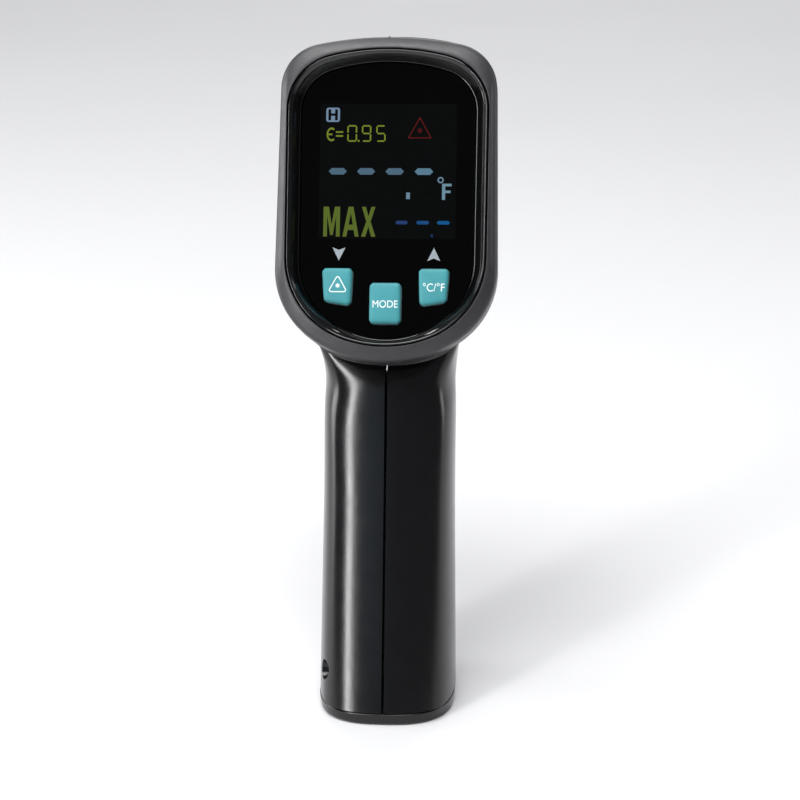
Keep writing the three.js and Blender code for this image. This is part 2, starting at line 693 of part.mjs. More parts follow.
// What stands on the inside of one half: screw bosses, the pin's boss, ribs, the door's lugs, and
// the spring's seat or the main board's posts.
function housingInside(side, span) {
  const added = HOUSING_SCREWS.map(({ y, z }) => rod("x", BOSS_RADIUS, span(SEAM / 2, FAR), [y, z], 10));
  const pinBoss = span(TRIGGER_WIDTH / 2 + 0.8, FAR);
  added.push(rod("x", PIVOT.radius + 1.9, pinBoss, [PIVOT.y, PIVOT.z], 10));
  added.push(ringRib(LASER_Y[0] + 7), ringRib(BARREL_REAR_Y + 6));
  const lug = span(HINGE_WIDTH / 2 + GAP, DOOR_WIDTH / 2 - 0.5);
  added.push(box(lug, [hingeY - 4, FAR], [HINGE.z - 4.7, HINGE.z + HINGE.inset + 0.1]));
  if (side > 0) {
    const seat = [SPRING.z - SPRING.radius - 2.6, SPRING.z + SPRING.radius + 2.6];
    added.push(box([SEAM / 2, FAR], [SPRING_SEAT_Y - 1.8, SPRING_SEAT_Y], seat));
  } else {
    BOARD_POSTS.forEach(({ y, z }) => added.push(rod("x", 2.4, [-FAR, BOARD_X[0] - GAP], [y, z], 8)));
  }
  return join(...added).intersect(core);
}

function housingHalf(side) {
  const span = (from, to) => (side > 0 ? [from, to] : [-to, -from]);
  const half = box(span(SEAM / 2, FAR), [-FAR, FAR], [-FAR, FAR * 2]);
  const doorHalf = DOOR_WIDTH / 2 + GAP;
  const knuckleHalf = HINGE_WIDTH / 2 + GAP;
  const behindHinge = hingeY - 8;
  const holes = [
    box([-slotHalf, slotHalf], [gripFront(NECK_Z) - 8, PIVOT.y + 11], slotZ),
    box([-doorHalf, doorHalf], [behindHinge, FAR], [HINGE.z + HINGE.inset + 0.1, DOOR_TOP_Z + GAP]),
    box([-knuckleHalf, knuckleHalf], [behindHinge, FAR], [HINGE.z - HINGE.inset - GAP, HINGE.z + 4]),
    rod("x", PIVOT.radius + 0.25, [-PIN_HALF - 0.4, PIN_HALF + 0.4], [PIVOT.y, PIVOT.z], 12),
    rod("x", HINGE.radius + 0.25, [-HINGE_PIN_HALF - 0.4, HINGE_PIN_HALF + 0.4], [hingeY, HINGE.z], 12),
  ];
  for (const { y, z } of HOUSING_SCREWS) {
    holes.push(rod("x", SCREW.shaft + GAP, [SCREW.seatX - 1, SCREW.tipX + 1.5], [y, z], 10));
    holes.push(rod("x", SCREW.head + GAP, [-FAR, SCREW.seatX], [y, z], 12));
  }
  for (const { y, z } of BOARD_POSTS) {
    holes.push(rod("x", 1.2, [BOARD_X[0] - 6.5, BOARD_X[0]], [y, z], 12));
  }
  return cut(wall.add(housingInside(side, span)).intersect(half), ...holes);
}

const thermometer = new THREE.Group();
addPiece(thermometer, "housing_left", housingHalf(-1), blackSatin());
addPiece(thermometer, "housing_right", housingHalf(1), blackSatin());

HOUSING_SCREWS.forEach(({ y, z }, k) => {
  const profile = [
    [0, SCREW.seatX - SCREW.headHeight - GAP],
    [SCREW.head * 0.6, SCREW.seatX - SCREW.headHeight - GAP],
    [SCREW.head, SCREW.seatX - SCREW.headHeight * 0.7],
    [SCREW.head, SCREW.seatX - GAP],
    [SCREW.shaft, SCREW.seatX - GAP],
    [SCREW.shaft, SCREW.tipX - 1.5],
    [SCREW.shaft * 0.5, SCREW.tipX],
    [0, SCREW.tipX],
  ];
  addPiece(thermometer, `housing_screw_${k + 1}`, turned("x", profile, [y, z], 10), steel());
});

// The end cap closes the grip's foot and is the face that the object stands on.
function endCap() {
  const ring = (z, inset) => gripRing(RIM_Z, 24, inset).map((p) => new THREE.Vector3(p.x, p.y, z));
  return loft([
    ring(0, 1.9),
    ring(0.5, 0.7),
    ring(1.5, 0.1),
    ring(CAP_HEIGHT, 0),
    ring(CAP_HEIGHT, WALL + 0.7),
    gripRing(CAP_HEIGHT + 2.6, 24, WALL + 0.7),
  ]);
}
addPiece(thermometer, "grip_end_cap", endCap(), blackSatin());

// ---------- display stack, in the face's own frame ----------
// Here x runs to the right, y up the face and z out towards the user, from the collar's front edge.
const face = new THREE.Group();
face.position.set(0, faceMiddle.x, faceMiddle.y);
face.rotation.x = Math.PI / 2 - FACE_TILT;
thermometer.add(face);

// The keys hang from the window's lower end, and the display fills what is above them.
const keyFoot = windowLine.bottom + 4.0;
const MODE_KEY = { half: 4, height: 10.35 };
const SIDE_KEY = { inner: 8.3, outer: 16.1, top: keyFoot + 14.0, height: 8.45 };
const LCD = {
  half: windowLine.half - 2.85,
  bottom: SIDE_KEY.top + 3.05,
  top: windowLine.top - 7.4,
};
const HOLDER_WALL = 1.6;
const POCKET = 0.4; // between the display glass and its holder
const BOARD_THICKNESS = 1.6;
const windowBack = -RECESS - WINDOW_THICKNESS;
const lcdZ = [windowBack - 2.4, windowBack - 0.5];
const backlightZ = [lcdZ[0] - 3, lcdZ[0] - GAP];
const boardFront = backlightZ[0] - 1.6;
const boardZ = [boardFront - BOARD_THICKNESS, boardFront];
const flangeZ = [windowBack - 3.1, windowBack - 1.1];
const FACE_SCREWS = [
  [15.5, collarLine.top - 9.15],
  [-15.5, collarLine.top - 9.15],
  [12.8, collarLine.bottom + 11.25],
  [-12.8, collarLine.bottom + 11.25],
];

function rearCollar() {
  const frameHole = (z) => atDepth(shield(frameLine, -GAP), z);
  const flangeHole = (z) => atDepth(shield(frameLine, 2.6), z);
  const outer = (inset, z) => atDepth(shield(collarLine, inset), z);
  const body = loft(
    [
      outer(0, -COLLAR_DEPTH),
      outer(0, -1.5),
      outer(0.4, -0.45),
      outer(1.5, 0),
      frameHole(-0.25),
      frameHole(flangeZ[1]),
      flangeHole(flangeZ[1]),
      flangeHole(flangeZ[0]),
      outer(4.3, flangeZ[0]),
      outer(3.1, -COLLAR_DEPTH),
    ],
    true,
  );
  const bossZ = [boardFront + GAP, flangeZ[1]];
  const bosses = FACE_SCREWS.map((place) => rod("z", 2.2, bossZ, place, 12));
  const pilots = FACE_SCREWS.map((place) => rod("z", 1.2, [boardFront, flangeZ[0] + 0.5], place, 10));
  return cut(join(body, ...bosses), ...pilots);
}
addPiece(face, "rear_collar", rearCollar(), charcoal());

function displayFrame() {
  const outer = (inset, z) => atDepth(shield(frameLine, inset), z);
  const inner = (inset, z) => atDepth(shield(windowLine, inset), z);
  return loft(
    [
      outer(0, flangeZ[1] + GAP),
      outer(0, -0.55),
      outer(0.3, -0.2),
      outer(0.8, -0.45),
      inner(-0.15, -RECESS + 0.55),
      inner(0, -RECESS + 0.2),
      inner(0, flangeZ[1] + GAP),
    ],
    true,
  );
}
addPiece(face, "display_frame", displayFrame(), glossBlack());

// The three keys stand in holes in the window. The side keys taper towards the round lower end.
const leftKey = [
  [-SIDE_KEY.outer, SIDE_KEY.top],
  [-SIDE_KEY.outer + 0.6, SIDE_KEY.top - SIDE_KEY.height],
  [-SIDE_KEY.inner - 0.3, SIDE_KEY.top - SIDE_KEY.height - 1.1],
  [-SIDE_KEY.inner, SIDE_KEY.top],
];
const KEYS = {
  laser: leftKey,
  mode: rectangle(-MODE_KEY.half, MODE_KEY.half, keyFoot, keyFoot + MODE_KEY.height),
  units: leftKey.map(([x, y]) => [-x, y]).reverse(),
};
const KEY_CORNER = 1.2;
const keyLine = (name, inset) => roundedPolygon(KEYS[name], KEY_CORNER, inset);
const keyMiddle = (name) =>
  KEYS[name].reduce(([x, y], corner) => [x + corner[0] / 4, y + corner[1] / 4], [0, 0]);

const keyHoles = Object.keys(KEYS).map((name) => keyLine(name, -GAP - 0.05));
const windowPlate = plate(shield(windowLine, GAP), [windowBack, -RECESS], keyHoles);
addPiece(face, "display_window", windowPlate, glossBlack());

const keyTop = -RECESS + KEY_PROUD;
const flangeTop = windowBack - 0.5;
const stemEnd = flangeTop - 1.3;
const switchTop = boardFront + GAP + 3.2;
const wellFloor = boardFront + 1.2;
const plungerFoot = wellFloor + KEY_TRAVEL + GAP;

for (const name of Object.keys(KEYS)) {
  const [x, y] = keyMiddle(name);
  const cap = loft([
    atDepth(keyLine(name, 0), flangeTop - 0.3),
    atDepth(keyLine(name, 0), keyTop - 0.65),
    atDepth(keyLine(name, 0.22), keyTop - 0.2),
    atDepth(keyLine(name, 0.7), keyTop),
  ]);
  const flange = plate(keyLine(name, -0.8), [flangeTop - 0.7, flangeTop]);
  const stem = rod("z", 1.5, [stemEnd, flangeTop - 0.4], [x, y], 12);
  addPiece(face, `key_${name}`, join(cap, flange, stem), turquoise());

  const square = roundedPolygon(rectangle(x - 3, x + 3, y - 3, y + 3), 0.4, 0, 1);
  const body = plate(square, [boardFront + GAP, switchTop]);
  const well = rod("z", 1.8, [wellFloor, switchTop + 1], [x, y], 12);
  addPiece(face, `tact_switch_${name}`, cut(body, well), steel());
  const plunger = rod("z", 1.5, [plungerFoot, stemEnd - GAP], [x, y], 12);
  addPiece(face, `tact_plunger_${name}`, plunger, ivory());
}

const lcdBox = (margin, depth) =>
  box([-LCD.half - margin, LCD.half + margin], [LCD.bottom - margin, LCD.top + margin], depth);
addPiece(face, "lcd_panel", lcdBox(0, lcdZ), finish(0x0b0f0e, 0.15));
addPiece(face, "lcd_backlight", lcdBox(0, backlightZ), ivory());
const holderHalf = LCD.half + HOLDER_WALL;
const holderLine = rectangle(-holderHalf, holderHalf, LCD.bottom - HOLDER_WALL, LCD.top + HOLDER_WALL);
const holder = cut(
  plate(roundedPolygon(holderLine, 2.6), [boardFront + GAP, flangeZ[1]]),
  lcdBox(POCKET, [boardFront - 1, 0]),
);
addPiece(face, "lcd_holder", holder, blackSatin());

const screwHoles = FACE_SCREWS.map(([x, y]) => circle(x, y, 1.2, 10));
// The board narrows downwards with the head behind it.
const boardHalf = collarLine.half - 5.4;
const boardRight = [
  [boardHalf - 10.2, collarLine.bottom + 8],
  [boardHalf - 5.4, collarLine.bottom + 11],
  [boardHalf, collarLine.bottom + 26],
  [boardHalf, collarLine.top - 6],
];
const boardLine = roundedPolygon([...boardRight, ...boardRight.map(([x, y]) => [-x, y]).reverse()], 1.5);
face.updateMatrixWorld();
const room = filledHousing(WALL + 0.4).transform(face.matrixWorld.clone().invert().elements);
addPiece(face, "display_board", plate(boardLine, boardZ, screwHoles).intersect(room), board());
FACE_SCREWS.forEach(([x, y], k) => {
  const profile = [
    [0, flangeZ[0] - 0.6],
    [0.9, flangeZ[0] - 0.6],
    [0.9, boardZ[0] - GAP],
    [1.8, boardZ[0] - GAP],
    [1.8, boardZ[0] - 1.1],
    [1.1, boardZ[0] - 1.6],
    [0, boardZ[0] - 1.6],
  ];
  addPiece(face, `board_screw_${k + 1}`, turned("z", profile, [x, y], 10), steel());
});

// A flat cable joins the display board to the main board, lying along the main board's face.
const connectorZ = [boardZ[0] - GAP - 2.7, boardZ[0] - GAP];
const ribbonX = BOARD_X[1] + 1;
const cableUp = 41.4 - FACE_HEIGHT / 2; // its place up the face
const plugUp = [cableUp - 6.5, cableUp + 6.5];
const plug = box([ribbonX - 3, ribbonX + 3], plugUp, connectorZ);
addPiece(face, "display_connector", plug, ivory());
const ribbonEnd = connectorZ[0] - 8;
const ribbonRoute = [
  [ribbonX, connectorZ[0] - GAP],
  [ribbonX + 0.5, connectorZ[0] - 2.5],
  [ribbonX + 0.5, connectorZ[0] - 5],
  [ribbonX, ribbonEnd],
];
// The strip's own plane holds x and depth, so its width runs up the face.
const ribbon = geometryOf(strip(ribbonRoute, 0.3, [-5, 5]));
ribbon.rotateX(Math.PI / 2).translate(0, cableUp, 0);
addPiece(face, "display_ribbon", ribbon, ivory());
const socketX = [BOARD_X[1] + GAP, BOARD_X[1] + 2.8];
const socket = box(socketX, plugUp, [ribbonEnd - 5, ribbonEnd - GAP]);
addPiece(face, "ribbon_socket", socket, ivory());

// ---------- main board ----------
const mainBoardLine = [
  onFace(30.4 - FACE_HEIGHT / 2, boardZ[0] - 5),
  new THREE.Vector2(BOARD_FRONT_Y, PIVOT.z + 5),
  new THREE.Vector2(BOARD_FRONT_Y, BOARD_TOP_Z),
  onFace(69.4 - FACE_HEIGHT / 2, boardZ[0] - 5),
];
const tailY = [SWITCH.y[0] - 2, PIVOT.y - 8.5];
const tailTop = PIVOT.z + 8;
const tailLine = [
  new THREE.Vector2(tailY[0], NECK_Z),
  new THREE.Vector2(tailY[1], NECK_Z),
  new THREE.Vector2(tailY[1], tailTop),
  new THREE.Vector2(tailY[0] + 8, tailTop),
  new THREE.Vector2(tailY[0], tailTop - 12),
];
const throughBoard = [BOARD_X[0] - 1, BOARD_X[1] + 1];
const postHoles = BOARD_POSTS.map(({ y, z }) => rod("x", 1.2, throughBoard, [y, z], 10));
const mainPlate = join(sidePlate(mainBoardLine, BOARD_X), sidePlate(tailLine, BOARD_X));
const mainBoard = cut(mainPlate, ...postHoles);
addPiece(thermometer, "main_board", mainBoard, board());
BOARD_POSTS.forEach(({ y, z }, k) => {
  const head = BOARD_X[1] + GAP;
  const tip = head - 6.5;
  const profile = [[0, tip], [0.9, tip], [0.9, head], [1.8, head], [1.8, head + 0.8], [0, head + 1.2]];
  addPiece(thermometer, `main_board_screw_${k + 1}`, turned("x", profile, [y, z], 10), steel());
});
const chipX = [BOARD_X[1] + GAP, BOARD_X[1] + 1.7];
const chipY = [BOARD_FRONT_Y - 10.5, BOARD_FRONT_Y - 1.5];
const chip = box(chipX, chipY, [LENS_AXIS_Z - 6, LENS_AXIS_Z + 3]);
addPiece(thermometer, "microcontroller", chip, blackSatin());
const buzzerProfile = [
  [0, BOARD_X[1] + GAP],
  [5, BOARD_X[1] + GAP],
  [5, BOARD_X[1] + 4.3],
  [1, BOARD_X[1] + 4.3],
  [1, BOARD_X[1] + 3],
  [0, BOARD_X[1] + 3],
];
const buzzerPlace = [BOARD_FRONT_Y - 6.7, LENS_AXIS_Z + 9.3];
addPiece(thermometer, "buzzer", turned("x", buzzerProfile, buzzerPlace), blackSatin());

// ---------- nose and optics ----------
function noseBezel() {
  const last = HEAD_BOTTOM_AT.length - 1;
  const ring = (y, inset) => headRing(last, 28, inset).map((p) => new THREE.Vector3(p.x, y, p.z));
  const inner = BARREL_FRONT_Y + GAP;
  const plug = NOSE_Y - BEZEL_THICKNESS;
  const body = loft([
    ring(inner, WALL + 0.5),
    ring(plug, WALL + 0.5),
    ring(plug, 0),
    ring(NOSE_Y - 0.7, 0.1),
    ring(NOSE_Y - 0.2, 0.5),
    ring(NOSE_Y, 1.2),
  ]);
  const cone = [
    [0, inner - 1],
    [LENS_RADIUS, inner - 1],
    [LENS_RADIUS, inner],
    [LENS_RADIUS + 2.6, NOSE_Y + 1],
    [0, NOSE_Y + 1],
  ];
  const funnel = turned("y", cone, [0, LENS_AXIS_Z], 20);
  return cut(body, funnel, rod("y", 2.2, [inner - 1, NOSE_Y + 1], [0, LASER_AXIS_Z]));
}
addPiece(thermometer, "nose_bezel", noseBezel(), blackSatin());

const lensBack = BARREL_FRONT_Y - 7.6;
const lensFront = lensBack + 2.4;
const bore = LENS_RADIUS + 0.5;
const barrelProfile = [
  [4.6, BARREL_REAR_Y],
  [BARREL_RADIUS, BARREL_REAR_Y],
  [BARREL_RADIUS, BARREL_FRONT_Y],
  [bore, BARREL_FRONT_Y],
  [bore, lensBack - GAP],
  [bore - 2, lensBack - GAP],
  [bore - 3, BARREL_REAR_Y + 2],
  [4.6, BARREL_REAR_Y + 2],
  [4.6, BARREL_REAR_Y],
];
addPiece(thermometer, "optic_barrel", turned("y", barrelProfile, [0, LENS_AXIS_Z], 18), blackSatin());
const lensProfile = [[0, lensBack + 0.3], [LENS_RADIUS, lensBack], [LENS_RADIUS, lensBack + 1.2]];
for (let k = 1; k <= 4; k++) {
  const share = 1 - k / 4;
  const bulge = (lensFront - lensBack - 1.2) * (1 - share * share);
  lensProfile.push([LENS_RADIUS * share, lensBack + 1.2 + bulge]);
}
addPiece(thermometer, "ir_lens", turned("y", lensProfile, [0, LENS_AXIS_Z], 18), finish(0x2a2d33, 0.1));
const retainerProfile = [
  [LENS_RADIUS - 1.8, lensFront + GAP],
  [LENS_RADIUS + 0.2, lensFront + GAP],
  [LENS_RADIUS + 0.2, BARREL_FRONT_Y - 1.5],
  [LENS_RADIUS - 0.9, BARREL_FRONT_Y - 1.5],
  [LENS_RADIUS - 1.8, lensFront + GAP],
];
addPiece(thermometer, "lens_retainer", turned("y", retainerProfile, [0, LENS_AXIS_Z], 18), blackSatin());

// The sensor can looks through the barrel's rear hole, and its pins pass through its round board.
const SENSOR_PINS = [[2, 2], [-2, 2], [0, -2.8]];
const canProfile = [
  [0, BARREL_REAR_Y - 1.1],
  [4.5, BARREL_REAR_Y - 1.1],
  [4.5, BARREL_REAR_Y - GAP],
  [4.1, BARREL_REAR_Y - GAP],
  [4.1, BARREL_REAR_Y + 3.4],
  [1.6, BARREL_REAR_Y + 3.4],
  [1.6, BARREL_REAR_Y + 3],
  [0, BARREL_REAR_Y + 3],
];
const sensorBoardY = [BARREL_REAR_Y - 3, BARREL_REAR_Y - 1.4];
const sensorPins = SENSOR_PINS.map(([x, z]) =>
  rod("y", 0.25, [sensorBoardY[0] - 0.8, BARREL_REAR_Y - 0.8], [x, LENS_AXIS_Z + z], 6),
);
const can = join(turned("y", canProfile, [0, LENS_AXIS_Z], 12), ...sensorPins);
addPiece(thermometer, "thermopile_sensor", can, steel());
const pinHoles = SENSOR_PINS.map(([x, z]) =>
  rod("y", 0.6, [sensorBoardY[0] - 1, sensorBoardY[1] + 1], [x, LENS_AXIS_Z + z], 8),
);
const sensorBoard = cut(rod("y", 7.5, sensorBoardY, [0, LENS_AXIS_Z], 14), ...pinHoles);
addPiece(thermometer, "sensor_board", sensorBoard, board());
const sensorRoute = [
  [-5, sensorBoardY[0] - GAP],
  [-5.6, sensorBoardY[0] - 1.6],
  [BOARD_X[1] + 1, BOARD_FRONT_Y - 1.2],
];
addPiece(thermometer, "sensor_ribbon", strip(sensorRoute, 0.3, [LENS_AXIS_Z + 3, LENS_AXIS_Z + 6]), ivory());

const laserBody = [
  [0, LASER_Y[0]],
  [LASER_RADIUS, LASER_Y[0]],
  [LASER_RADIUS, LASER_Y[1]],
  [1.9, LASER_Y[1]],
  [1.9, LASER_Y[1] - 2],
  [0, LASER_Y[1] - 2],
];
addPiece(thermometer, "laser_module", turned("y", laserBody, [0, LASER_AXIS_Z], 12), brass());
const laserFront = LASER_Y[1];
const laserLens = [
  [0, laserFront - 1.7],
  [1.6, laserFront - 1.7],
  [1.6, laserFront - 0.8],
  [0, laserFront - 0.4],
];
addPiece(thermometer, "laser_lens", turned("y", laserLens, [0, LASER_AXIS_Z], 12), finish(0x551a1c, 0.1));
[-1, 1].forEach((side) => {
  const x = side * 0.9;
  const over = HOUSING_SCREWS[0].z + BOSS_RADIUS + 0.8;
  const route = [
    [x, LASER_Y[0] - GAP, LASER_AXIS_Z],
    [x, LASER_Y[0] - 4, LASER_AXIS_Z + 2.4],
    [x - 1, HOUSING_SCREWS[0].y, over],
    [x - 3.5, BOARD_FRONT_Y + 5.5, over - 1.6],
    [BOARD_X[1] + 1.5 + x / 2, BOARD_FRONT_Y + 1, BOARD_TOP_Z - 2.5 + side],
    [BOARD_X[1] + 1.3 + x / 3, BOARD_FRONT_Y - 0.7, BOARD_TOP_Z - 6.4 + 1.2 * side],
  ];
  const name = side < 0 ? "laser_wire_black" : "laser_wire_red";
  addPiece(thermometer, name, tube(curveThrough(route), 0.5, 14, 6), side < 0 ? blackWire() : redWire());
});

// ---------- trigger ----------
// Its outline is drawn from the pivot: a flat back, a round tip, and a hollow front for the finger.
function triggerBody() {
  const tip = PIVOT.z - TRIGGER_LENGTH;
  const brow = PIVOT.z - 4.4;
  const shape = new THREE.Shape();
  shape.moveTo(TRIGGER_BACK_Y, tip + 5.2);
  shape.quadraticCurveTo(PIVOT.y - 1.5, tip + 0.6, PIVOT.y + 6.1, tip);
  shape.quadraticCurveTo(PIVOT.y + 9.1, tip + 0.1, PIVOT.y + 8.5, tip + 3.2);
  shape.bezierCurveTo(PIVOT.y + 5.1, tip + 10.7, PIVOT.y + 4.9, brow - 6.6, PIVOT.y + 9.5, brow);
  shape.quadraticCurveTo(PIVOT.y + 8.5, brow + 5, PIVOT.y + PIVOT.hub, PIVOT.z + 1);
  shape.absarc(PIVOT.y, PIVOT.z, PIVOT.hub, 0.24, Math.PI, false);
  shape.lineTo(TRIGGER_BACK_Y, PIVOT.z - 8);
  const outline = shape.extractPoints(5).shape;
  const body = sidePlate(outline, [-TRIGGER_WIDTH / 2, TRIGGER_WIDTH / 2]);
  const nubY = [SWITCH.y[1] + 2.7, TRIGGER_BACK_Y + 1];
  const nub = box([SWITCH.x - 1.5, SWITCH.x + 1.5], nubY, [SWITCH.z - 1.2, SWITCH.z + 1.2]);
  return cut(join(body, nub), rod("x", PIVOT.radius + 0.25, [-FAR, FAR], [PIVOT.y, PIVOT.z]));
}
addPiece(thermometer, "trigger", triggerBody(), blackSatin());
const triggerPin = rod("x", PIVOT.radius, [-PIN_HALF, PIN_HALF], [PIVOT.y, PIVOT.z], 12);
addPiece(thermometer, "trigger_pin", triggerPin, steel());

class Coil extends THREE.Curve {
  constructor(start, end, radius, turns, x, z) {
    super();
    Object.assign(this, { start, end, radius, turns, x, z });
  }
  getPoint(t) {
    const angle = 2 * Math.PI * this.turns * t;
    return new THREE.Vector3(
      this.x + this.radius * Math.cos(angle),
      THREE.MathUtils.lerp(this.start, this.end, t),
      this.z + this.radius * Math.sin(angle),
    );
  }
}
const springStart = SPRING_SEAT_Y + GAP + SPRING.wire;
const springEnd = TRIGGER_BACK_Y - GAP - SPRING.wire;
const coil = new Coil(springStart, springEnd, SPRING.radius, SPRING.turns, SPRING.x, SPRING.z);
const SPRING_STEPS = 9; // a turn
const spring = tube(coil, SPRING.wire, SPRING.turns * SPRING_STEPS, 5);
addPiece(thermometer, "trigger_spring", spring, steel());

const switchBox = box(
  [SWITCH.x - SWITCH.half, SWITCH.x + SWITCH.half],
  SWITCH.y,
  [SWITCH.z - SWITCH.half, SWITCH.z + SWITCH.half],
);
const switchFloor = SWITCH.y[0] + 1.5;
const switchWell = rod("y", 1.8, [switchFloor, SWITCH.y[1] + 1], [SWITCH.x, SWITCH.z], 12);
addPiece(thermometer, "trigger_switch", cut(switchBox, switchWell), blackSatin());
const switchTravel = (PIVOT.z - SWITCH.z) * TRIGGER_TRAVEL;
const plungerY = [switchFloor + switchTravel + GAP, SWITCH.y[1] + 2.4];
const switchPlunger = rod("y", 1.5, plungerY, [SWITCH.x, SWITCH.z], 12);
addPiece(thermometer, "trigger_switch_plunger", switchPlunger, ivory());

// ---------- battery and its door ----------
function batteryDoor() {
  const outside = [-FAR, FAR];
  const upper = box([-DOOR_WIDTH / 2, DOOR_WIDTH / 2], [hingeY - 6, FAR], [HINGE.z + 4.5, DOOR_TOP_Z]);
  const lower = box([-HINGE_WIDTH / 2, HINGE_WIDTH / 2], [hingeY - 3, FAR], [HINGE.z - 3.2, HINGE.z + 4.6]);
  const skin = wall.intersect(join(upper, lower));
  const knuckle = rod("x", HINGE.inset, [-HINGE_WIDTH / 2, HINGE_WIDTH / 2], [hingeY, HINGE.z], 20);
  // Below the pin the door is round about it, so that its foot turns in place.
  const round = cut(box(outside, [hingeY, FAR], [HINGE.z - 10, HINGE.z]), knuckle);
  const foot = box(outside, [-FAR, hingeY], [HINGE.z - 10, HINGE.z]);
  const pinHole = rod("x", HINGE.radius + 0.25, outside, [hingeY, HINGE.z]);
  return cut(join(cut(skin, foot), knuckle.intersect(filled)), round, pinHole);
}
addPiece(thermometer, "battery_door", batteryDoor(), blackSatin());
const hingePin = rod("x", HINGE.radius, [-HINGE_PIN_HALF, HINGE_PIN_HALF], [hingeY, HINGE.z], 12);
addPiece(thermometer, "door_hinge_pin", hingePin, steel());

// The battery leans with the grip, half way between its front and rear faces.
const batteryMiddleZ = 36;
const gripMiddle = (z) => (gripRear(z) + gripFront(z)) / 2;
const lean = Math.atan((gripMiddle(60) - gripMiddle(12)) / 48);
const cell = new THREE.Group();
cell.position.set(0, gripMiddle(batteryMiddleZ), batteryMiddleZ);
cell.rotation.x = -lean;
thermometer.add(cell);

const cellTop = BATTERY.height / 2 - 3;
const TERMINAL_X = 6.35;
const case9v = loft(
  [-BATTERY.height / 2, cellTop - 0.8, cellTop].map((z, k) => {
    const inset = k === 2 ? 0.8 : 0;
    const [w, d] = [BATTERY.width / 2, BATTERY.depth / 2];
    return atDepth(roundedPolygon(rectangle(-w, w, -d, d), 1.8, inset), z);
  }),
);
const studs = [
  rod("z", 2.8, [cellTop - 0.5, cellTop + 2.6], [-TERMINAL_X, 0], 14),
  rod("z", 4, [cellTop - 0.5, cellTop + 2.6], [TERMINAL_X, 0], 6),
];
addPiece(cell, "battery", join(case9v, ...studs), finish(0x6d7076, 0.35, 0.6));
const snapZ = [cellTop + GAP, cellTop + 4.8];
const snapHalf = BATTERY.width / 2 - 0.75;
const snap = cut(
  plate(roundedPolygon(rectangle(-snapHalf, snapHalf, -6, 6), 3), snapZ),
  rod("z", 3.2, [snapZ[0] - 1, cellTop + 3.1], [-TERMINAL_X, 0], 14),
  rod("z", 4.5, [snapZ[0] - 1, cellTop + 3.1], [TERMINAL_X, 0], 14),
);
addPiece(cell, "battery_snap", snap, blackWire());

// The leads rise from the snap to the foot of the main board.
const snapTop = new THREE.Vector3(0, 0, snapZ[1] + GAP).applyAxisAngle(new THREE.Vector3(1, 0, 0), -lean);
snapTop.add(cell.position);
[-1, 1].forEach((side) => {
  const route = [
    [-3.5 + 1.4 * side, snapTop.y - 0.3, snapTop.z + 0.2],
    [-3.5 + 1.4 * side, snapTop.y + 0.6, snapTop.z + 4],
    [-5 + 1.2 * side, snapTop.y + 3, snapTop.z + 10],
    [BOARD_X[1] + 1.6 + 0.7 * side, SWITCH.y[0] + 3, NECK_Z + 0.5],
    [BOARD_X[1] + 1.1 + 0.1 * side, SWITCH.y[0] + 4 + 1.2 * side, NECK_Z + 4.5],
  ];
  const name = side < 0 ? "battery_wire_black" : "battery_wire_red";
  addPiece(thermometer, name, tube(curveThrough(route), 0.6, 14, 6), side < 0 ? blackWire() : redWire());
});

export default thermometer;
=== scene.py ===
"""The looks of a pistol-grip infrared thermometer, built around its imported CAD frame.

Shapes are worked out in millimetres and turned into metres when a mesh is made. +X is the user's
right, +Y is the way the lens points and +Z is up, as in the frame.
"""

import json
import math

import bmesh
import bpy
from mathutils import Matrix, Vector

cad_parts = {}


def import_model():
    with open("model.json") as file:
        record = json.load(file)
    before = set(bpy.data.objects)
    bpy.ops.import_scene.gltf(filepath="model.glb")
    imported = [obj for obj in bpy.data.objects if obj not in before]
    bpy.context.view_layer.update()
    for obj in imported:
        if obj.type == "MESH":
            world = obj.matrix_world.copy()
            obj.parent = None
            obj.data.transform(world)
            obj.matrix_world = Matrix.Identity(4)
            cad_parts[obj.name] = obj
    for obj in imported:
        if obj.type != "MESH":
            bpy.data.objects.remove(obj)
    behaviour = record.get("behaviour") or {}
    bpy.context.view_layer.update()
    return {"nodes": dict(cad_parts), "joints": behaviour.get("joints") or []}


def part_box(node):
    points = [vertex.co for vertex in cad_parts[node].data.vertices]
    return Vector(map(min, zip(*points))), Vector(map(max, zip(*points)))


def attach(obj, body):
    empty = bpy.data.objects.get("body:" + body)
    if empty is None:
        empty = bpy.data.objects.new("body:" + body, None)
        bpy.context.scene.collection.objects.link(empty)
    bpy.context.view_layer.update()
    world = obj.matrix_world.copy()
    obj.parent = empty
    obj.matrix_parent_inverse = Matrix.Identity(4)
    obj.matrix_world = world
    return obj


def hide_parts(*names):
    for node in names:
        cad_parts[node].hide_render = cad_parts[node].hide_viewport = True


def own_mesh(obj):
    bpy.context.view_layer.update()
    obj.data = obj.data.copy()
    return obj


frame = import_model()

MM = 0.001

# ---------- sizes, in millimetres ----------
GAP = 0.3
SEAM = 0.3
WALL = 2.0
COLLAR_DEPTH = 10.0
RECESS = 3.9
WINDOW_THICKNESS = 1.5
KEY_PROUD = 1.8
BEZEL_THICKNESS = 1.7
LENS_RADIUS = 10.0
GRIP_WIDTH = 34.3
GRIP_DEPTH = 41.5
NECK_Z = 84.0
CAP_HEIGHT = 3.0
DOOR_WIDTH = 28.4


def corners(node):
    """A CAD node's lowest and highest corners in millimetres."""
    low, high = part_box(node)
    return low / MM, high / MM


def middle(node):
    low, high = corners(node)
    return (low + high) / 2


JOINTS = {joint["name"]: joint for joint in frame["joints"]}

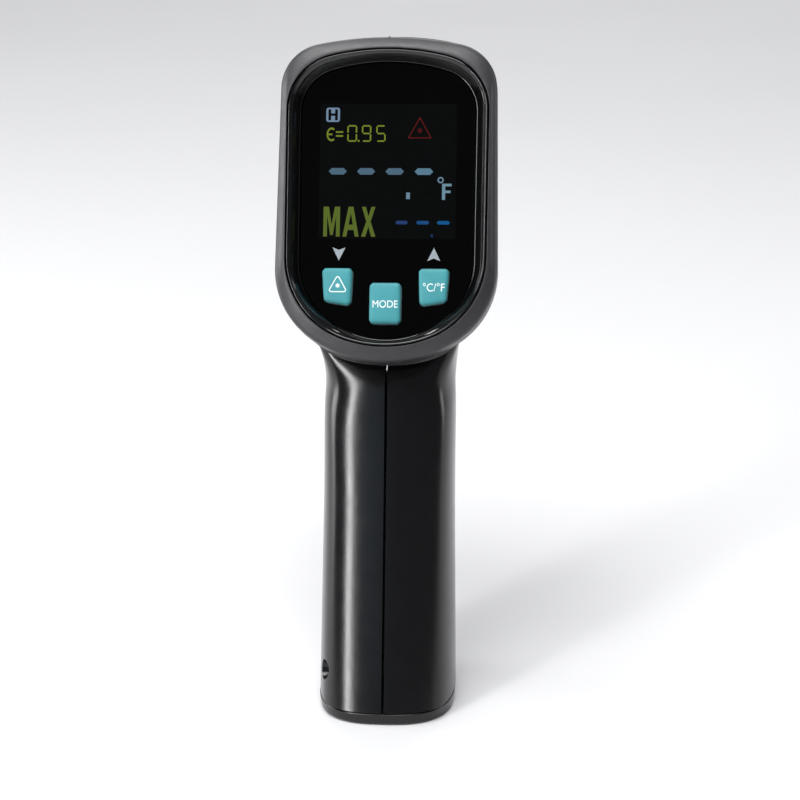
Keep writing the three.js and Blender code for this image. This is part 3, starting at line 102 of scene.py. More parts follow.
# The display face's own frame: x to the right, y up the face and z out towards the user.
FACE_OUT = -Vector(JOINTS["mode_key_press"]["axis"]).normalized()
FACE_UP = Vector((0, FACE_OUT.z, -FACE_OUT.y))
collar_points = [vertex.co / MM for vertex in frame["nodes"]["rear_collar"].data.vertices]
collar_out = max(point.dot(FACE_OUT) for point in collar_points)
collar_ups = [point.dot(FACE_UP) for point in collar_points]
FACE_HEIGHT = max(collar_ups) - min(collar_ups)
FACE_WIDTH = 2 * max(point.x for point in collar_points)
FACE_ORIGIN = FACE_OUT * collar_out + FACE_UP * (max(collar_ups) + min(collar_ups)) / 2
FACE = Matrix.Translation(FACE_ORIGIN) @ Matrix((
    (1, FACE_UP.x, FACE_OUT.x, 0),
    (0, FACE_UP.y, FACE_OUT.y, 0),
    (0, FACE_UP.z, FACE_OUT.z, 0),
    (0, 0, 0, 1),
))

nose_low, nose_high = corners("nose_bezel")
NOSE_Y = nose_high.y
NOSE_WIDTH = nose_high.x - nose_low.x
SHELL_NOSE_Y = NOSE_Y - BEZEL_THICKNESS - GAP


# ---------- materials ----------
def srgb(*levels):
    """A colour given as 0 to 255 levels, as linear RGBA."""
    linear = []
    for level in levels:
        share = level / 255
        linear.append(share / 12.92 if share <= 0.04045 else ((share + 0.055) / 1.055) ** 2.4)
    return (*linear, 1.0)


class Surface:
    """A Principled material whose grain, roughness, colour and edges, lightened partly by wear and
    partly by a painted highlight, come from its nodes.
    """

    def __init__(self, name, colour, roughness, metallic=0.0):
        self.material = bpy.data.materials.new(name)
        self.material.use_nodes = True
        self.tree = self.material.node_tree
        self.shader = self.tree.nodes["Principled BSDF"]
        self.set(Metallic=metallic)
        self.colour = colour
        self.roughness = roughness
        self.place = self.add("ShaderNodeTexCoord").outputs["Object"]

    def add(self, kind, **values):
        node = self.tree.nodes.new(kind)
        for key, value in values.items():
            node.inputs[key.replace("_", " ")].default_value = value
        return node

    def set(self, **values):
        """Values of the shader's own sockets."""
        for key, value in values.items():
            self.shader.inputs[key.replace("_", " ")].default_value = value

    def link(self, start, end):
        self.tree.links.new(start, end)

    def noise(self, size, detail=2.0):
        """A noise whose features are about size millimetres across."""
        mapping = self.add("ShaderNodeMapping")
        self.link(self.place, mapping.inputs["Vector"])
        noise = self.add("ShaderNodeTexNoise", Scale=1 / (size * MM), Detail=detail)
        self.link(mapping.outputs["Vector"], noise.inputs["Vector"])
        return noise.outputs["Fac"]

    def between(self, source, low, high, start=0.3, end=0.7):
        ramp = self.add("ShaderNodeMapRange", From_Min=start, From_Max=end, To_Min=low, To_Max=high)
        self.link(source, ramp.inputs["Value"])
        return ramp.outputs["Result"]

    def mixed(self, share, first, second):
        """A colour between two colours, each a value or a socket."""
        mix = self.tree.nodes.new("ShaderNodeMix")
        mix.data_type = "RGBA"
        self.link(share, mix.inputs[0])
        for socket, value in ((mix.inputs[6], first), (mix.inputs[7], second)):
            if isinstance(value, bpy.types.NodeSocket):
                self.link(value, socket)
            else:
                socket.default_value = value
        return mix.outputs[2]

    def edges(self, radius):
        """1 along outside edges and 0 on flat stretches."""
        bevel = self.add("ShaderNodeBevel", Radius=radius * MM)
        bevel.samples = 4
        true = self.tree.nodes.new("ShaderNodeNewGeometry")
        dot = self.tree.nodes.new("ShaderNodeVectorMath")
        dot.operation = "DOT_PRODUCT"
        self.link(bevel.outputs["Normal"], dot.inputs[0])
        self.link(true.outputs["Normal"], dot.inputs[1])
        return self.between(dot.outputs["Value"], 1.0, 0.0, 0.8, 0.995)

    def bump(self, source, height, strength, under=None):
        bump = self.add("ShaderNodeBump", Strength=strength, Distance=height * MM)
        self.link(source, bump.inputs["Height"])
        if under is not None:
            self.link(under, bump.inputs["Normal"])
        return bump.outputs["Normal"]

    def finish(self, variation=0.15, spread=0.12, wear_and_edge_highlight=0.0, worn_and_highlight_colour=None, patch=9.0):
        """Colour variation in patches, roughness variation, and edges lightened partly by wear and
        partly by a painted highlight.
        """
        cloud = self.noise(patch, 3.0)
        dark = (*(channel * (1 - variation) for channel in self.colour[:3]), 1)
        light = (*(min(1, channel * (1 + variation)) for channel in self.colour[:3]), 1)
        colour = self.mixed(self.between(cloud, 0, 1), dark, light)
        # Edges are mixed towards a paler colour in patches: partly wear, partly a painted highlight
        # along them.
        if wear_and_edge_highlight:
            mask = self.add("ShaderNodeMath")
            mask.operation = "MULTIPLY"
            self.link(self.edges(0.35), mask.inputs[0])
            self.link(self.between(self.noise(2.5), 0.2 * wear_and_edge_highlight, wear_and_edge_highlight), mask.inputs[1])
            colour = self.mixed(mask.outputs[0], colour, worn_and_highlight_colour)
        self.link(colour, self.shader.inputs["Base Color"])
        smear = self.noise(patch * 0.4, 4.0)
        low, high = self.roughness * (1 - spread), self.roughness * (1 + spread)
        self.link(self.between(smear, low, high), self.shader.inputs["Roughness"])
        return self.material

    def grain(self, *layers):
        """Bumps laid over one another, each given as (size, height, strength, detail)."""
        normal = None
        for size, height, strength, detail in layers:
            normal = self.bump(self.noise(size, detail), height, strength, normal)
        self.link(normal, self.shader.inputs["Normal"])


def satin_black():
    """Moulded black plastic with a fine spark-eroded grain."""
    surface = Surface("satin_black", srgb(10, 10, 11), 0.19)
    surface.set(Specular_IOR_Level=0.45)
    surface.grain((0.28, 0.016, 0.9, 2.0), (1.1, 0.012, 0.3, 3.0))
    return surface.finish(0.1, 0.12, 0.25, srgb(50, 50, 52))


def charcoal():
    """The collar's dark grey plastic, matt and finely textured."""
    surface = Surface("charcoal", srgb(44, 44, 46), 0.42)
    surface.set(Specular_IOR_Level=0.45)
    surface.grain((0.35, 0.022, 0.9, 3.0), (1.3, 0.02, 0.4, 3.0))
    # The pale grey edge colour is partly wear and partly a painted highlight along the collar's edges.
    return surface.finish(0.14, 0.12, 0.5, srgb(112, 112, 116), 5.0)


def gloss_black():
    """The display frame's polished black plastic, with faint orange peel."""
    surface = Surface("gloss_black", srgb(7, 7, 8), 0.09)
    surface.set(Coat_Weight=0.25, Coat_Roughness=0.05)
    surface.grain((1.6, 0.006, 0.5, 2.0))
    return surface.finish(0.2, 0.35, 0.25, srgb(48, 48, 50))


def window_black():
    """The display window: a clear sheet printed black from behind, with a little dust on it."""
    surface = Surface("window_black", srgb(1, 1, 1), 0.07)
    surface.set(Specular_IOR_Level=0.16)
    surface.grain((6.0, 0.01, 0.3, 2.0))
    return surface.finish(0.3, 0.5, 0.0, None, 6.0)


def turquoise():
    """The keys' soft silicone rubber."""
    surface = Surface("turquoise_rubber", srgb(46, 130, 137), 0.6)
    surface.set(Subsurface_Weight=0.12, Subsurface_Scale=0.0012, Sheen_Weight=0.15)
    surface.grain((0.22, 0.01, 0.5, 2.0))
    # The pale edge colour is partly wear and partly a painted highlight along the keys' rounded edges.
    return surface.finish(0.05, 0.12, 0.5, srgb(116, 208, 210), 3.0)


def printed(name, colour):
    """A printed mark, slightly uneven as ink is."""
    surface = Surface(name, colour, 0.5)
    surface.grain((0.15, 0.004, 0.4, 2.0))
    return surface.finish(0.06, 0.15, 0.0, None, 1.0)


def lit(name, colour, strength=1.0):
    """A segment of the display, lit from behind through the window."""
    surface = Surface(name, srgb(2, 2, 2), 0.08)
    surface.set(Emission_Color=colour, Emission_Strength=strength, Specular_IOR_Level=0.16)
    return surface.finish(0.2, 0.3, 0.0, None, 2.0)


# The last two arguments lighten the edges: partly wear, partly a painted highlight.
def plain(name, colour, roughness, metallic=0.0, grain=0.5, height=0.01, wear_and_edge_highlight=0.0, worn_and_highlight_colour=None):
    surface = Surface(name, colour, roughness, metallic)
    surface.grain((grain, height, 0.7, 2.0))
    return surface.finish(0.12, 0.2, wear_and_edge_highlight, worn_and_highlight_colour)


def lens_glass():
    """A dark infrared lens with a thin coating."""
    surface = Surface("lens_dark", srgb(26, 24, 34), 0.06, 0.3)
    surface.set(Coat_Weight=1.0, Coat_Roughness=0.02, Coat_Tint=(0.75, 0.7, 1.0, 1.0))
    surface.grain((3.0, 0.004, 0.3, 2.0))
    return surface.finish(0.2, 0.3)


def circuit_board():
    """Green solder mask over faint tracks."""
    surface = Surface("board_green", srgb(22, 88, 46), 0.35)
    tracks = surface.add("ShaderNodeTexBrick", Scale=1 / (9 * MM))
    tracks.inputs["Mortar Size"].default_value = 0.03
    surface.link(surface.place, tracks.inputs["Vector"])
    surface.link(surface.bump(tracks.outputs["Fac"], 0.05, 0.6), surface.shader.inputs["Normal"])
    return surface.finish(0.25, 0.2, 0.3, srgb(170, 160, 110))


BLACK = satin_black()
CHARCOAL = charcoal()
GLOSS = gloss_black()
WINDOW = window_black()
TURQUOISE = turquoise()
LENS = lens_glass()
STEEL = plain("steel", srgb(150, 150, 154), 0.28, 1.0, 0.25, 0.006, 0.3, srgb(200, 200, 200))
BRASS = plain("brass", srgb(176, 136, 66), 0.3, 1.0, 0.25, 0.006, 0.3, srgb(225, 200, 140))
INNER = plain("inner_black", srgb(14, 14, 15), 0.5, 0.0, 0.4, 0.012, 0.2, srgb(50, 50, 50))
IVORY = plain("white_plastic", srgb(206, 203, 192), 0.45, 0.0, 0.5, 0.01, 0.2, srgb(235, 233, 226))
BOARD = circuit_board()
BATTERY = plain("battery_case", srgb(92, 95, 102), 0.3, 0.6, 0.6, 0.008, 0.3, srgb(190, 190, 190))
WIRE_RED = plain("wire_red", srgb(140, 20, 16), 0.4)
WIRE_BLACK = plain("wire_black", srgb(12, 12, 13), 0.4)
LASER_GLASS = plain("laser_glass", srgb(82, 10, 14), 0.08, 0.0, 1.0, 0.003)


# ---------- meshes ----------
SAME_POINT = 1e-7
# A turned profile starts this far from its axis, so that its ends are faces and not single points.
AXIS = 0.01


def piece(name, skin, material, body, replaces, sharp=35, place=Matrix()):
    """A mesh object from points in millimetres and faces, riding on a CAD body."""
    points, faces = skin
    mesh = bpy.data.meshes.new(name)
    mesh.from_pydata([(place @ Vector(point)) * MM for point in points], [], faces)
    return dress(bpy.data.objects.new(name, mesh), material, body, replaces, sharp)


def facing_outwards(mesh):
    """Joins points that lie on one another and turns every face outwards."""
    loose = bmesh.new()
    loose.from_mesh(mesh)
    bmesh.ops.remove_doubles(loose, verts=loose.verts, dist=SAME_POINT)
    bmesh.ops.recalc_face_normals(loose, faces=loose.faces)
    loose.to_mesh(mesh)
    loose.free()


def shade_smooth(mesh, sharp):
    mesh.polygons.foreach_set("use_smooth", [True] * len(mesh.polygons))
    mesh.set_sharp_from_angle(angle=math.radians(sharp))


def dress(thing, material, body, replaces, sharp):
    """Faces outwards, smooth shading with sharp edges kept, a material and a body to ride on."""
    mesh = thing.data
    facing_outwards(mesh)
    shade_smooth(mesh, sharp)
    mesh.materials.clear()
    mesh.materials.append(material)
    if thing.name not in bpy.context.scene.collection.objects:
        bpy.context.scene.collection.objects.link(thing)
    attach(thing, body)
    if replaces:
        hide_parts(*replaces)
    return thing


def weighted(thing):
    """Shading normals follow the large faces, so flats stay flat beside rounded edges."""
    modifier = thing.modifiers.new("weighted", "WEIGHTED_NORMAL")
    modifier.keep_sharp = True
    return thing


def loft(loops, ring=False):
    """Points and faces of a closed skin through loops of equally many points."""
    count = len(loops[0])
    points = [point for loop in loops for point in loop]
    faces = []
    for k in range(len(loops) if ring else len(loops) - 1):
        after = (k + 1) % len(loops)
        for i in range(count):
            j = (i + 1) % count
            faces.append((k * count + i, k * count + j, after * count + j, after * count + i))
    if not ring:
        faces.append(tuple(range(count)))
        faces.append(tuple(reversed(range((len(loops) - 1) * count, len(loops) * count))))
    return points, faces


def lathe(profile, place, sides):
    """Loops of a body turned about the Y axis: the profile is a list of (radius, y)."""
    loops = []
    for radius, along in profile:
        loop = []
        for k in range(sides):
            angle = 2 * math.pi * k / sides
            x, z = place[0] + radius * math.cos(angle), place[1] + radius * math.sin(angle)
            loop.append(Vector((x, along, z)))
        loops.append(loop)
    return loft(loops)


def rounded_profile(points, steps):
    """An open profile of (a, b, radius) with each inner corner turned into an arc."""
    made = [Vector(points[0][:2])]
    for before, corner, after in zip(points, points[1:], points[2:]):
        here = Vector(corner[:2])
        back = (Vector(before[:2]) - here).normalized()
        on = (Vector(after[:2]) - here).normalized()
        half = back.angle(on) / 2
        radius = corner[2]
        if radius <= 0 or half > math.pi / 2 - 0.02:
            made.append(here)
            continue
        centre = here + (back + on).normalized() * radius / math.sin(half)
        start = here + back * radius / math.tan(half) - centre
        sweep = math.pi - 2 * half
        turn = 1 if back.x * on.y - back.y * on.x < 0 else -1
        for k in range(steps + 1):
            made.append(centre + Matrix.Rotation(turn * sweep * k / steps, 2) @ start)
    made.append(Vector(points[-1][:2]))
    return made


def solid_object(points, faces):
    """A bare object for booleans, from points in millimetres."""
    mesh = bpy.data.meshes.new("tool")
    mesh.from_pydata([Vector(point) * MM for point in points], [], faces)
    facing_outwards(mesh)
    thing = bpy.data.objects.new("tool", mesh)
    bpy.context.scene.collection.objects.link(thing)
    return thing


def block(x, y, z):
    """A box as an object for booleans."""
    points = [(a, b, c) for a in x for b in y for c in z]
    faces = [(0, 1, 3, 2), (4, 6, 7, 5), (0, 4, 5, 1), (2, 3, 7, 6), (0, 2, 6, 4), (1, 5, 7, 3)]
    return solid_object(points, faces)


def circle_at(x, radius, place, sides):
    """A circle across the X axis, round a place given as (y, z)."""
    angles = [2 * math.pi * k / sides for k in range(sides)]
    y, z = place
    return [Vector((x, y + radius * math.cos(a), z + radius * math.sin(a))) for a in angles]


def rod(radius, along, place, sides=32):
    """A cylinder along X as an object for booleans; along is (x0, x1) and place is (y, z)."""
    return solid_object(*loft([circle_at(x, radius, place, sides) for x in along]))


def evaluated_mesh(thing):
    """The mesh of an object as its modifiers or its curve make it."""
    bpy.context.view_layer.update()
    graph = bpy.context.evaluated_depsgraph_get()
    return bpy.data.meshes.new_from_object(thing.evaluated_get(graph))


def combine(thing, tool, operation):
    """A boolean of two objects. The tool is used up."""
    modifier = thing.modifiers.new("boolean", "BOOLEAN")
    modifier.operation = operation
    modifier.solver = "MANIFOLD"
    modifier.object = tool
    made = evaluated_mesh(thing)
    thing.modifiers.clear()
    old = thing.data
    thing.data = made
    bpy.data.meshes.remove(old)
    spent = tool.data
    bpy.data.objects.remove(tool)
    bpy.data.meshes.remove(spent)
    return thing


def with_bevel(thing, width, segments, angle):
    """Applies rounded edges to an object's mesh."""
    modifier = thing.modifiers.new("bevel", "BEVEL")
    modifier.width = width * MM
    modifier.segments = segments
    modifier.limit_method = "ANGLE"
    modifier.angle_limit = math.radians(angle)
    made = evaluated_mesh(thing)
    thing.modifiers.clear()
    thing.data = made
    return thing


# ---------- outlines ----------
ARC_STEPS = {"crown_top": 14, "corner_top": 16, "corner_bottom": 18, "crown_bottom": 12}


def shield(spec, inset=0.0):
    """A shallow arc over the top, rounded corners, near-straight sides and a round bottom."""
    top, bottom = spec["top"] - inset, spec["bottom"] + inset
    half, top_half = spec["half"] - inset, spec["top_half"] - inset
    crown_top, corner_top = spec["crown_top"] - inset, spec["corner_top"] - inset
    crown_bottom, corner_bottom = spec["crown_bottom"] - inset, spec["corner_bottom"] - inset
    turn_top = math.asin((top_half - corner_top) / (crown_top - corner_top))
    turn_bottom = math.asin((half - corner_bottom) / (crown_bottom - corner_bottom))
    points = []

    def arc(x, y, radius, start, end, steps, first):
        for k in range(first, steps + 1):
            angle = start + (end - start) * k / steps
            points.append(Vector((x + radius * math.sin(angle), y + radius * math.cos(angle))))

    top_y = top - crown_top + (crown_top - corner_top) * math.cos(turn_top)
    bottom_y = bottom + crown_bottom - (crown_bottom - corner_bottom) * math.cos(turn_bottom)
    quarter = math.pi / 2
    arc(0, top - crown_top, crown_top, 0, turn_top, ARC_STEPS["crown_top"], 0)
    arc(top_half - corner_top, top_y, corner_top, turn_top, quarter, ARC_STEPS["corner_top"], 1)
    end = math.pi - turn_bottom
    arc(half - corner_bottom, bottom_y, corner_bottom, quarter, end, ARC_STEPS["corner_bottom"], 0)
    arc(0, bottom + crown_bottom, crown_bottom, end, math.pi, ARC_STEPS["crown_bottom"], 1)
    return points + [Vector((-point.x, point.y)) for point in reversed(points[1:-1])]


COLLAR_LINE = {
    "top": FACE_HEIGHT / 2,
    "bottom": -FACE_HEIGHT / 2,
    "half": FACE_WIDTH / 2,
    "top_half": FACE_WIDTH / 2 - 0.65,
    "crown_top": 90.0,
    "corner_top": 11.6,
    "crown_bottom": 32.4,
    "corner_bottom": 21.7,
}
FRAME_LINE = {
    "top": COLLAR_LINE["top"] - 3.6,
    "bottom": COLLAR_LINE["bottom"] + 4.0,
    "half": COLLAR_LINE["half"] - 2.95,
    "top_half": COLLAR_LINE["half"] - 2.75,
    "crown_top": 62.0,
    "corner_top": 14.0,
    "crown_bottom": 32.0,
    "corner_bottom": 22.0,
}
WINDOW_LINE = {
    "top": FRAME_LINE["top"] - 2.5,
    "bottom": FRAME_LINE["bottom"] + 1.8,
    "half": FRAME_LINE["half"] - 3.0,
    "top_half": FRAME_LINE["half"] - 2.8,
    "crown_top": 49.0,
    "corner_top": 11.0,
    "crown_bottom": 23.5,
    "corner_bottom": 18.0,
}


def at_depth(outline, z):
    return [Vector((point[0], point[1], z)) for point in outline]


def blended(first, second, share):
    return [a.lerp(b, share) for a, b in zip(first, second)]


def rounded_polygon(points, radius, inset=0.0, steps=6):
    """A polygon, listed anticlockwise, moved inwards and with its corners rounded."""
    count = len(points)
    moved = []
    for i, corner in enumerate(points):
        here = Vector(corner)
        into = (here - Vector(points[i - 1])).normalized()
        out = (Vector(points[(i + 1) % count]) - here).normalized()
        normal = Vector((-into.y - out.y, into.x + out.x)).normalized()
        moved.append(here + normal * inset / normal.dot(Vector((-into.y, into.x))))
    bend = max(radius - inset, 0.2)
    made = []
    for i, corner in enumerate(moved):
        back = (moved[i - 1] - corner).normalized()
        on = (moved[(i + 1) % count] - corner).normalized()
        half = back.angle(on) / 2
        centre = corner + (back + on).normalized() * bend / math.sin(half)
        start = corner + back * bend / math.tan(half) - centre
        for k in range(steps + 1):
            made.append(centre + Matrix.Rotation((math.pi - 2 * half) * k / steps, 2) @ start)
    return made


def rectangle(x0, x1, y0, y1):
    return [(x0, y0), (x1, y0), (x1, y1), (x0, y1)]


# ---------- housing ----------
# The head is a row of rings from the display rim to the nose, and the grip is a row of rings that
# starts from a gap in the head's underside, as in the CAD part. The lists hold one value for each
# ring, from the rim to the nose or from the neck to the foot.
HEAD_POINTS = 16
GRIP_POINTS = 12
HEAD_BOTTOM_AT = (0, 0.045, 0.22, 0.43, 0.6, 0.78, 0.94, 1)
HEAD_TOP_AT = (0, 0.08, 0.25, 0.43, 0.6, 0.78, 0.94, 1)
HEAD_WIDTH_SHARE = (0.94, 0.94, 0.87, 0.72, 0.48, 0.22, 0.05, 0)
HEAD_TOP_POWER = (5, 4.8, 4.3, 3.8, 3.3, 2.8, 2.4, 2.3)
HEAD_BOTTOM_POWER = (2.65, 2.6, 2.5, 2.4, 2.3, 2.25, 2.2, 2.2)
GRIP_POWER = 2.8
RIM_Z = CAP_HEIGHT + GAP
GRIP_LEVELS = (NECK_Z, 75, 58, 39, 20, 8, RIM_Z)
GRIP_FLARE = (0, -0.1, -0.1, 0.05, 0.3, 0.45, 0.5)
FIT_ROUNDS = 60
SMOOTH_LEVELS = 3


def on_face(up, out):
    """A point of the middle plane as (y, z), from its height up the face and distance out of it."""
    point = FACE @ Vector((0, up, out))
    return Vector((point.y, point.z))


RIM_OUT = -COLLAR_DEPTH - GAP
RIM_BOTTOM = on_face(-FACE_HEIGHT / 2, RIM_OUT)
RIM_TOP = on_face(FACE_HEIGHT / 2, RIM_OUT)
NOSE_BOTTOM = Vector((SHELL_NOSE_Y, nose_low.z))
NOSE_TOP = Vector((SHELL_NOSE_Y, nose_high.z))
BELLY_PULL = Vector((
    RIM_BOTTOM.x + (NOSE_BOTTOM.x - RIM_BOTTOM.x) * 0.46,
    RIM_BOTTOM.y + (NOSE_BOTTOM.y - RIM_BOTTOM.y) * 0.57,
))
CROWN_PULL = Vector((RIM_TOP.x + (NOSE_TOP.x - RIM_TOP.x) * 0.34, RIM_TOP.y + 0.1))
HEAD_BOTTOM = (RIM_BOTTOM, BELLY_PULL, NOSE_BOTTOM)
HEAD_TOP = (RIM_TOP, CROWN_PULL, NOSE_TOP)


def bezier(points, t):
    """A place on a curve from the first to the last of three points, pulled by the middle one."""
    a, b, c = points
    return a * (1 - t) ** 2 + b * 2 * t * (1 - t) + c * t * t


def power(value, exponent):
    """A power that keeps the value's sign."""
    return math.copysign(abs(value) ** exponent, value)


def head_ring(k, count=HEAD_POINTS, inset=0.0):
    """Anticlockwise from the bottom, seen along +Y."""
    low = bezier(HEAD_BOTTOM, HEAD_BOTTOM_AT[k])
    high = bezier(HEAD_TOP, HEAD_TOP_AT[k])
    centre = (low + high) / 2
    up = (high - low) / 2
    shrink = 1 - inset / up.length
    half = NOSE_WIDTH / 2 + (FACE_WIDTH - NOSE_WIDTH) / 2 * HEAD_WIDTH_SHARE[k] - inset
    ring = []
    for i in range(count):
        angle = 2 * math.pi * i / count
        lower = math.cos(angle) > 0
        exponent = 2 / (HEAD_BOTTOM_POWER[k] if lower else HEAD_TOP_POWER[k])
        rise = -power(math.cos(angle), exponent) * shrink
        x = half * power(math.sin(angle), exponent)
        ring.append(Vector((x, centre.x + up.x * rise, centre.y + up.y * rise)))
    return ring


GRIP_LEAN = 0.316
REAR_FOOT_Y = -21.2


def grip_rear(z):
    return REAR_FOOT_Y + GRIP_LEAN * z


def grip_front(z):
    return REAR_FOOT_Y + GRIP_DEPTH + 0.155 * z + 0.0008 * z * z


def grip_flare(z):
    for k in range(1, len(GRIP_LEVELS)):
        if z >= GRIP_LEVELS[k]:
            share = (GRIP_LEVELS[k - 1] - z) / (GRIP_LEVELS[k - 1] - GRIP_LEVELS[k])
            return GRIP_FLARE[k - 1] + (GRIP_FLARE[k] - GRIP_FLARE[k - 1]) * max(share, 0)
    return GRIP_FLARE[-1]


def grip_ring(z, count=GRIP_POINTS, inset=0.0):
    """From the rear centre towards +X."""
    centre = (grip_rear(z) + grip_front(z)) / 2
    depth = (grip_front(z) - grip_rear(z)) / 2 - inset
    half = GRIP_WIDTH / 2 + grip_flare(z) - inset
    ring = []
    for i in range(count):
        angle = 2 * math.pi * i / count
        x = half * power(math.sin(angle), 2 / GRIP_POWER)
        ring.append(Vector((x, centre - depth * power(math.cos(angle), 2 / GRIP_POWER), z)))
    return ring


def grip_surface_y(x, z):
    """Where the front of the grip is, at a place across it."""
    centre = (grip_rear(z) + grip_front(z)) / 2
    depth = (grip_front(z) - grip_rear(z)) / 2
    half = GRIP_WIDTH / 2 + grip_flare(z)
    return centre + depth * (1 - abs(x / half) ** GRIP_POWER) ** (1 / GRIP_POWER)


def housing_cage():
    """The rings of head and grip as one cage of four-sided faces."""
    points, quads = [], []

    def added(ring):
        points.extend(ring)
        return list(range(len(points) - len(ring), len(points)))

    head = [added(head_ring(k)) for k in range(len(HEAD_BOTTOM_AT))]
    for k in range(len(head) - 1):
        for i in range(HEAD_POINTS):
            j = (i + 1) % HEAD_POINTS
            in_gap = k in (1, 2) and (i < 2 or i >= HEAD_POINTS - 2)
            if not in_gap:
                quads.append((head[k][i], head[k + 1][i], head[k + 1][j], head[k][j]))
    mouth = [head[1][0], head[1][1], head[1][2], head[2][2], head[3][2], head[3][1], head[3][0]]
    mouth += [head[3][-1], head[3][-2], head[2][-2], head[1][-2], head[1][-1]]
    grip = [mouth] + [added(grip_ring(z)) for z in GRIP_LEVELS]
    for k in range(len(grip) - 1):
        for i in range(GRIP_POINTS):
            j = (i + 1) % GRIP_POINTS
            quads.append((grip[k][i], grip[k + 1][i], grip[k + 1][j], grip[k][j]))
    used = sorted({index for quad in quads for index in quad})
    place = {old: new for new, old in enumerate(used)}
    return [points[old] for old in used], [tuple(place[i] for i in quad) for quad in quads]


def fitted(points, quads):
    """Moves the cage until the smooth surface passes through its own points."""
    edges = {}
    faces = [[] for _ in points]
    for quad in quads:
        for i, a in enumerate(quad):
            key = tuple(sorted((a, quad[(i + 1) % 4])))
            edges[key] = edges.get(key, 0) + 1
            faces[a].append(quad[(i + 2) % 4])
    near = [[] for _ in points]
    rim = [[] for _ in points]
    for (a, b), uses in edges.items():
        for one, other in ((a, b), (b, a)):
            near[one].append(other)
            if uses == 1:
                rim[one].append(other)
    cage = [point.copy() for point in points]
    for _ in range(FIT_ROUNDS):
        reached = []
        for i, point in enumerate(cage):
            if rim[i]:
                reached.append((point * 4 + sum((cage[j] for j in rim[i]), Vector((0, 0, 0)))) / 6)
                continue
            n = len(near[i])
            total = point * n * n
            total += sum((cage[j] for j in near[i]), Vector((0, 0, 0))) * 4
            total += sum((cage[j] for j in faces[i]), Vector((0, 0, 0)))
            reached.append(total / (n * (n + 5)))
        cage = [c + target - now for c, target, now in zip(cage, points, reached)]
    return cage


def smooth_surface():
    """The housing's outer surface as points in millimetres, their normals and four-sided faces."""
    points, quads = housing_cage()
    thing = solid_object(fitted(points, quads), quads)
    modifier = thing.modifiers.new("smooth", "SUBSURF")
    modifier.levels = modifier.render_levels = SMOOTH_LEVELS
    modifier.use_limit_surface = True
    made = evaluated_mesh(thing)
    bpy.data.objects.remove(thing)
    centre = Vector((0, 30, 130)) * MM
    outwards = sum((f.normal.dot(f.center - centre) > 0) for f in made.polygons)
    sign = 1 if outwards > len(made.polygons) / 2 else -1
    places = [vertex.co / MM for vertex in made.vertices]
    normals = [vertex.normal * sign for vertex in made.vertices]
    return places, normals, [tuple(polygon.vertices) for polygon in made.polygons]


def rim_edges(quads):
    """Directed edges that only one face uses."""
    used = {(a, quad[(i + 1) % 4]): True for quad in quads for i, a in enumerate(quad)}
    return [(a, b) for a, b in used if (b, a) not in used]


SURFACE_POINTS, SURFACE_NORMALS, SURFACE_QUADS = smooth_surface()
GROOVE = {"half": 0.62, "depth": 0.42}


def shell_points():
    """Outer and inner points of the wall."""
    inner = [p - n * WALL for p, n in zip(SURFACE_POINTS, SURFACE_NORMALS)]
    return SURFACE_POINTS + inner


def shell_faces():
    count = len(SURFACE_POINTS)
    faces = list(SURFACE_QUADS)
    faces += [tuple(i + count for i in reversed(quad)) for quad in SURFACE_QUADS]
    faces += [(b, a, a + count, b + count) for a, b in rim_edges(SURFACE_QUADS)]
    return faces


def half_shell(side):
    """One half of the wall, cut off beside the middle plane, with a shallow groove along the seam."""
    mesh = bmesh.new()
    count = len(SURFACE_POINTS)
    depth = mesh.verts.layers.float.new("outer")
    verts = []
    for i, point in enumerate(shell_points()):
        vert = mesh.verts.new(point)
        vert[depth] = 1.0 if i < count else 0.0
        verts.append(vert)
    for face in shell_faces():
        mesh.faces.new([verts[i] for i in face])
    bmesh.ops.recalc_face_normals(mesh, faces=mesh.faces)
    everything = list(mesh.verts) + list(mesh.edges) + list(mesh.faces)
    for station in (GROOVE["half"], GROOVE["half"] * 0.6):
        bmesh.ops.bisect_plane(
            mesh, geom=everything, dist=1e-5, plane_co=(side * station, 0, 0), plane_no=(side, 0, 0))
        everything = list(mesh.verts) + list(mesh.edges) + list(mesh.faces)
    bmesh.ops.bisect_plane(
        mesh, geom=everything, dist=1e-5, plane_co=(side * SEAM / 2, 0, 0), plane_no=(side, 0, 0),
        clear_inner=True)
    mesh.normal_update()
    for vert in mesh.verts:
        if vert[depth] > 0.99 and abs(abs(vert.co.x) - SEAM / 2) < 1e-3:
            vert.co += Vector((0, -vert.normal.y, -vert.normal.z)) * GROOVE["depth"]
    bmesh.ops.holes_fill(mesh, edges=[edge for edge in mesh.edges if edge.is_boundary], sides=0)
    bmesh.ops.recalc_face_normals(mesh, faces=mesh.faces)
    data = bpy.data.meshes.new("half")
    bmesh.ops.scale(mesh, vec=(MM, MM, MM), verts=mesh.verts)
    mesh.to_mesh(data)
    mesh.free()
    thing = bpy.data.objects.new("shell_left" if side < 0 else "shell_right", data)
    bpy.context.scene.collection.objects.link(thing)
    return thing


PIVOT = middle("trigger_pin")
HINGE = middle("door_hinge_pin")
TRIGGER_LOW, TRIGGER_HIGH = corners("trigger")
DOOR_TOP = corners("battery_door")[1].z
SLOT_HALF = TRIGGER_HIGH.x + 0.4
SLOT_Y = (grip_front(NECK_Z) - 8, PIVOT.y + 11)
SLOT_Z = (TRIGGER_LOW.z - 1.6, PIVOT.z + 5.2)
# How far the door's opening and its hinge's notch reach below and above the hinge line.
SILL = 3.3
NOTCH_BELOW, NOTCH_ABOVE = 3.5, 4
KNUCKLE_HALF = 9.1
BEHIND_HINGE = 8.0
FAR = 200.0
HOUSING_SCREWS = tuple(f"housing_screw_{k}" for k in range(1, 5))
SCREW_BOSS, SCREW_BORE, SCREW_SINK = 3.5, 1.6, 2.6
BOSS_REACH = 15.0
SINK_DEPTH = 2.2


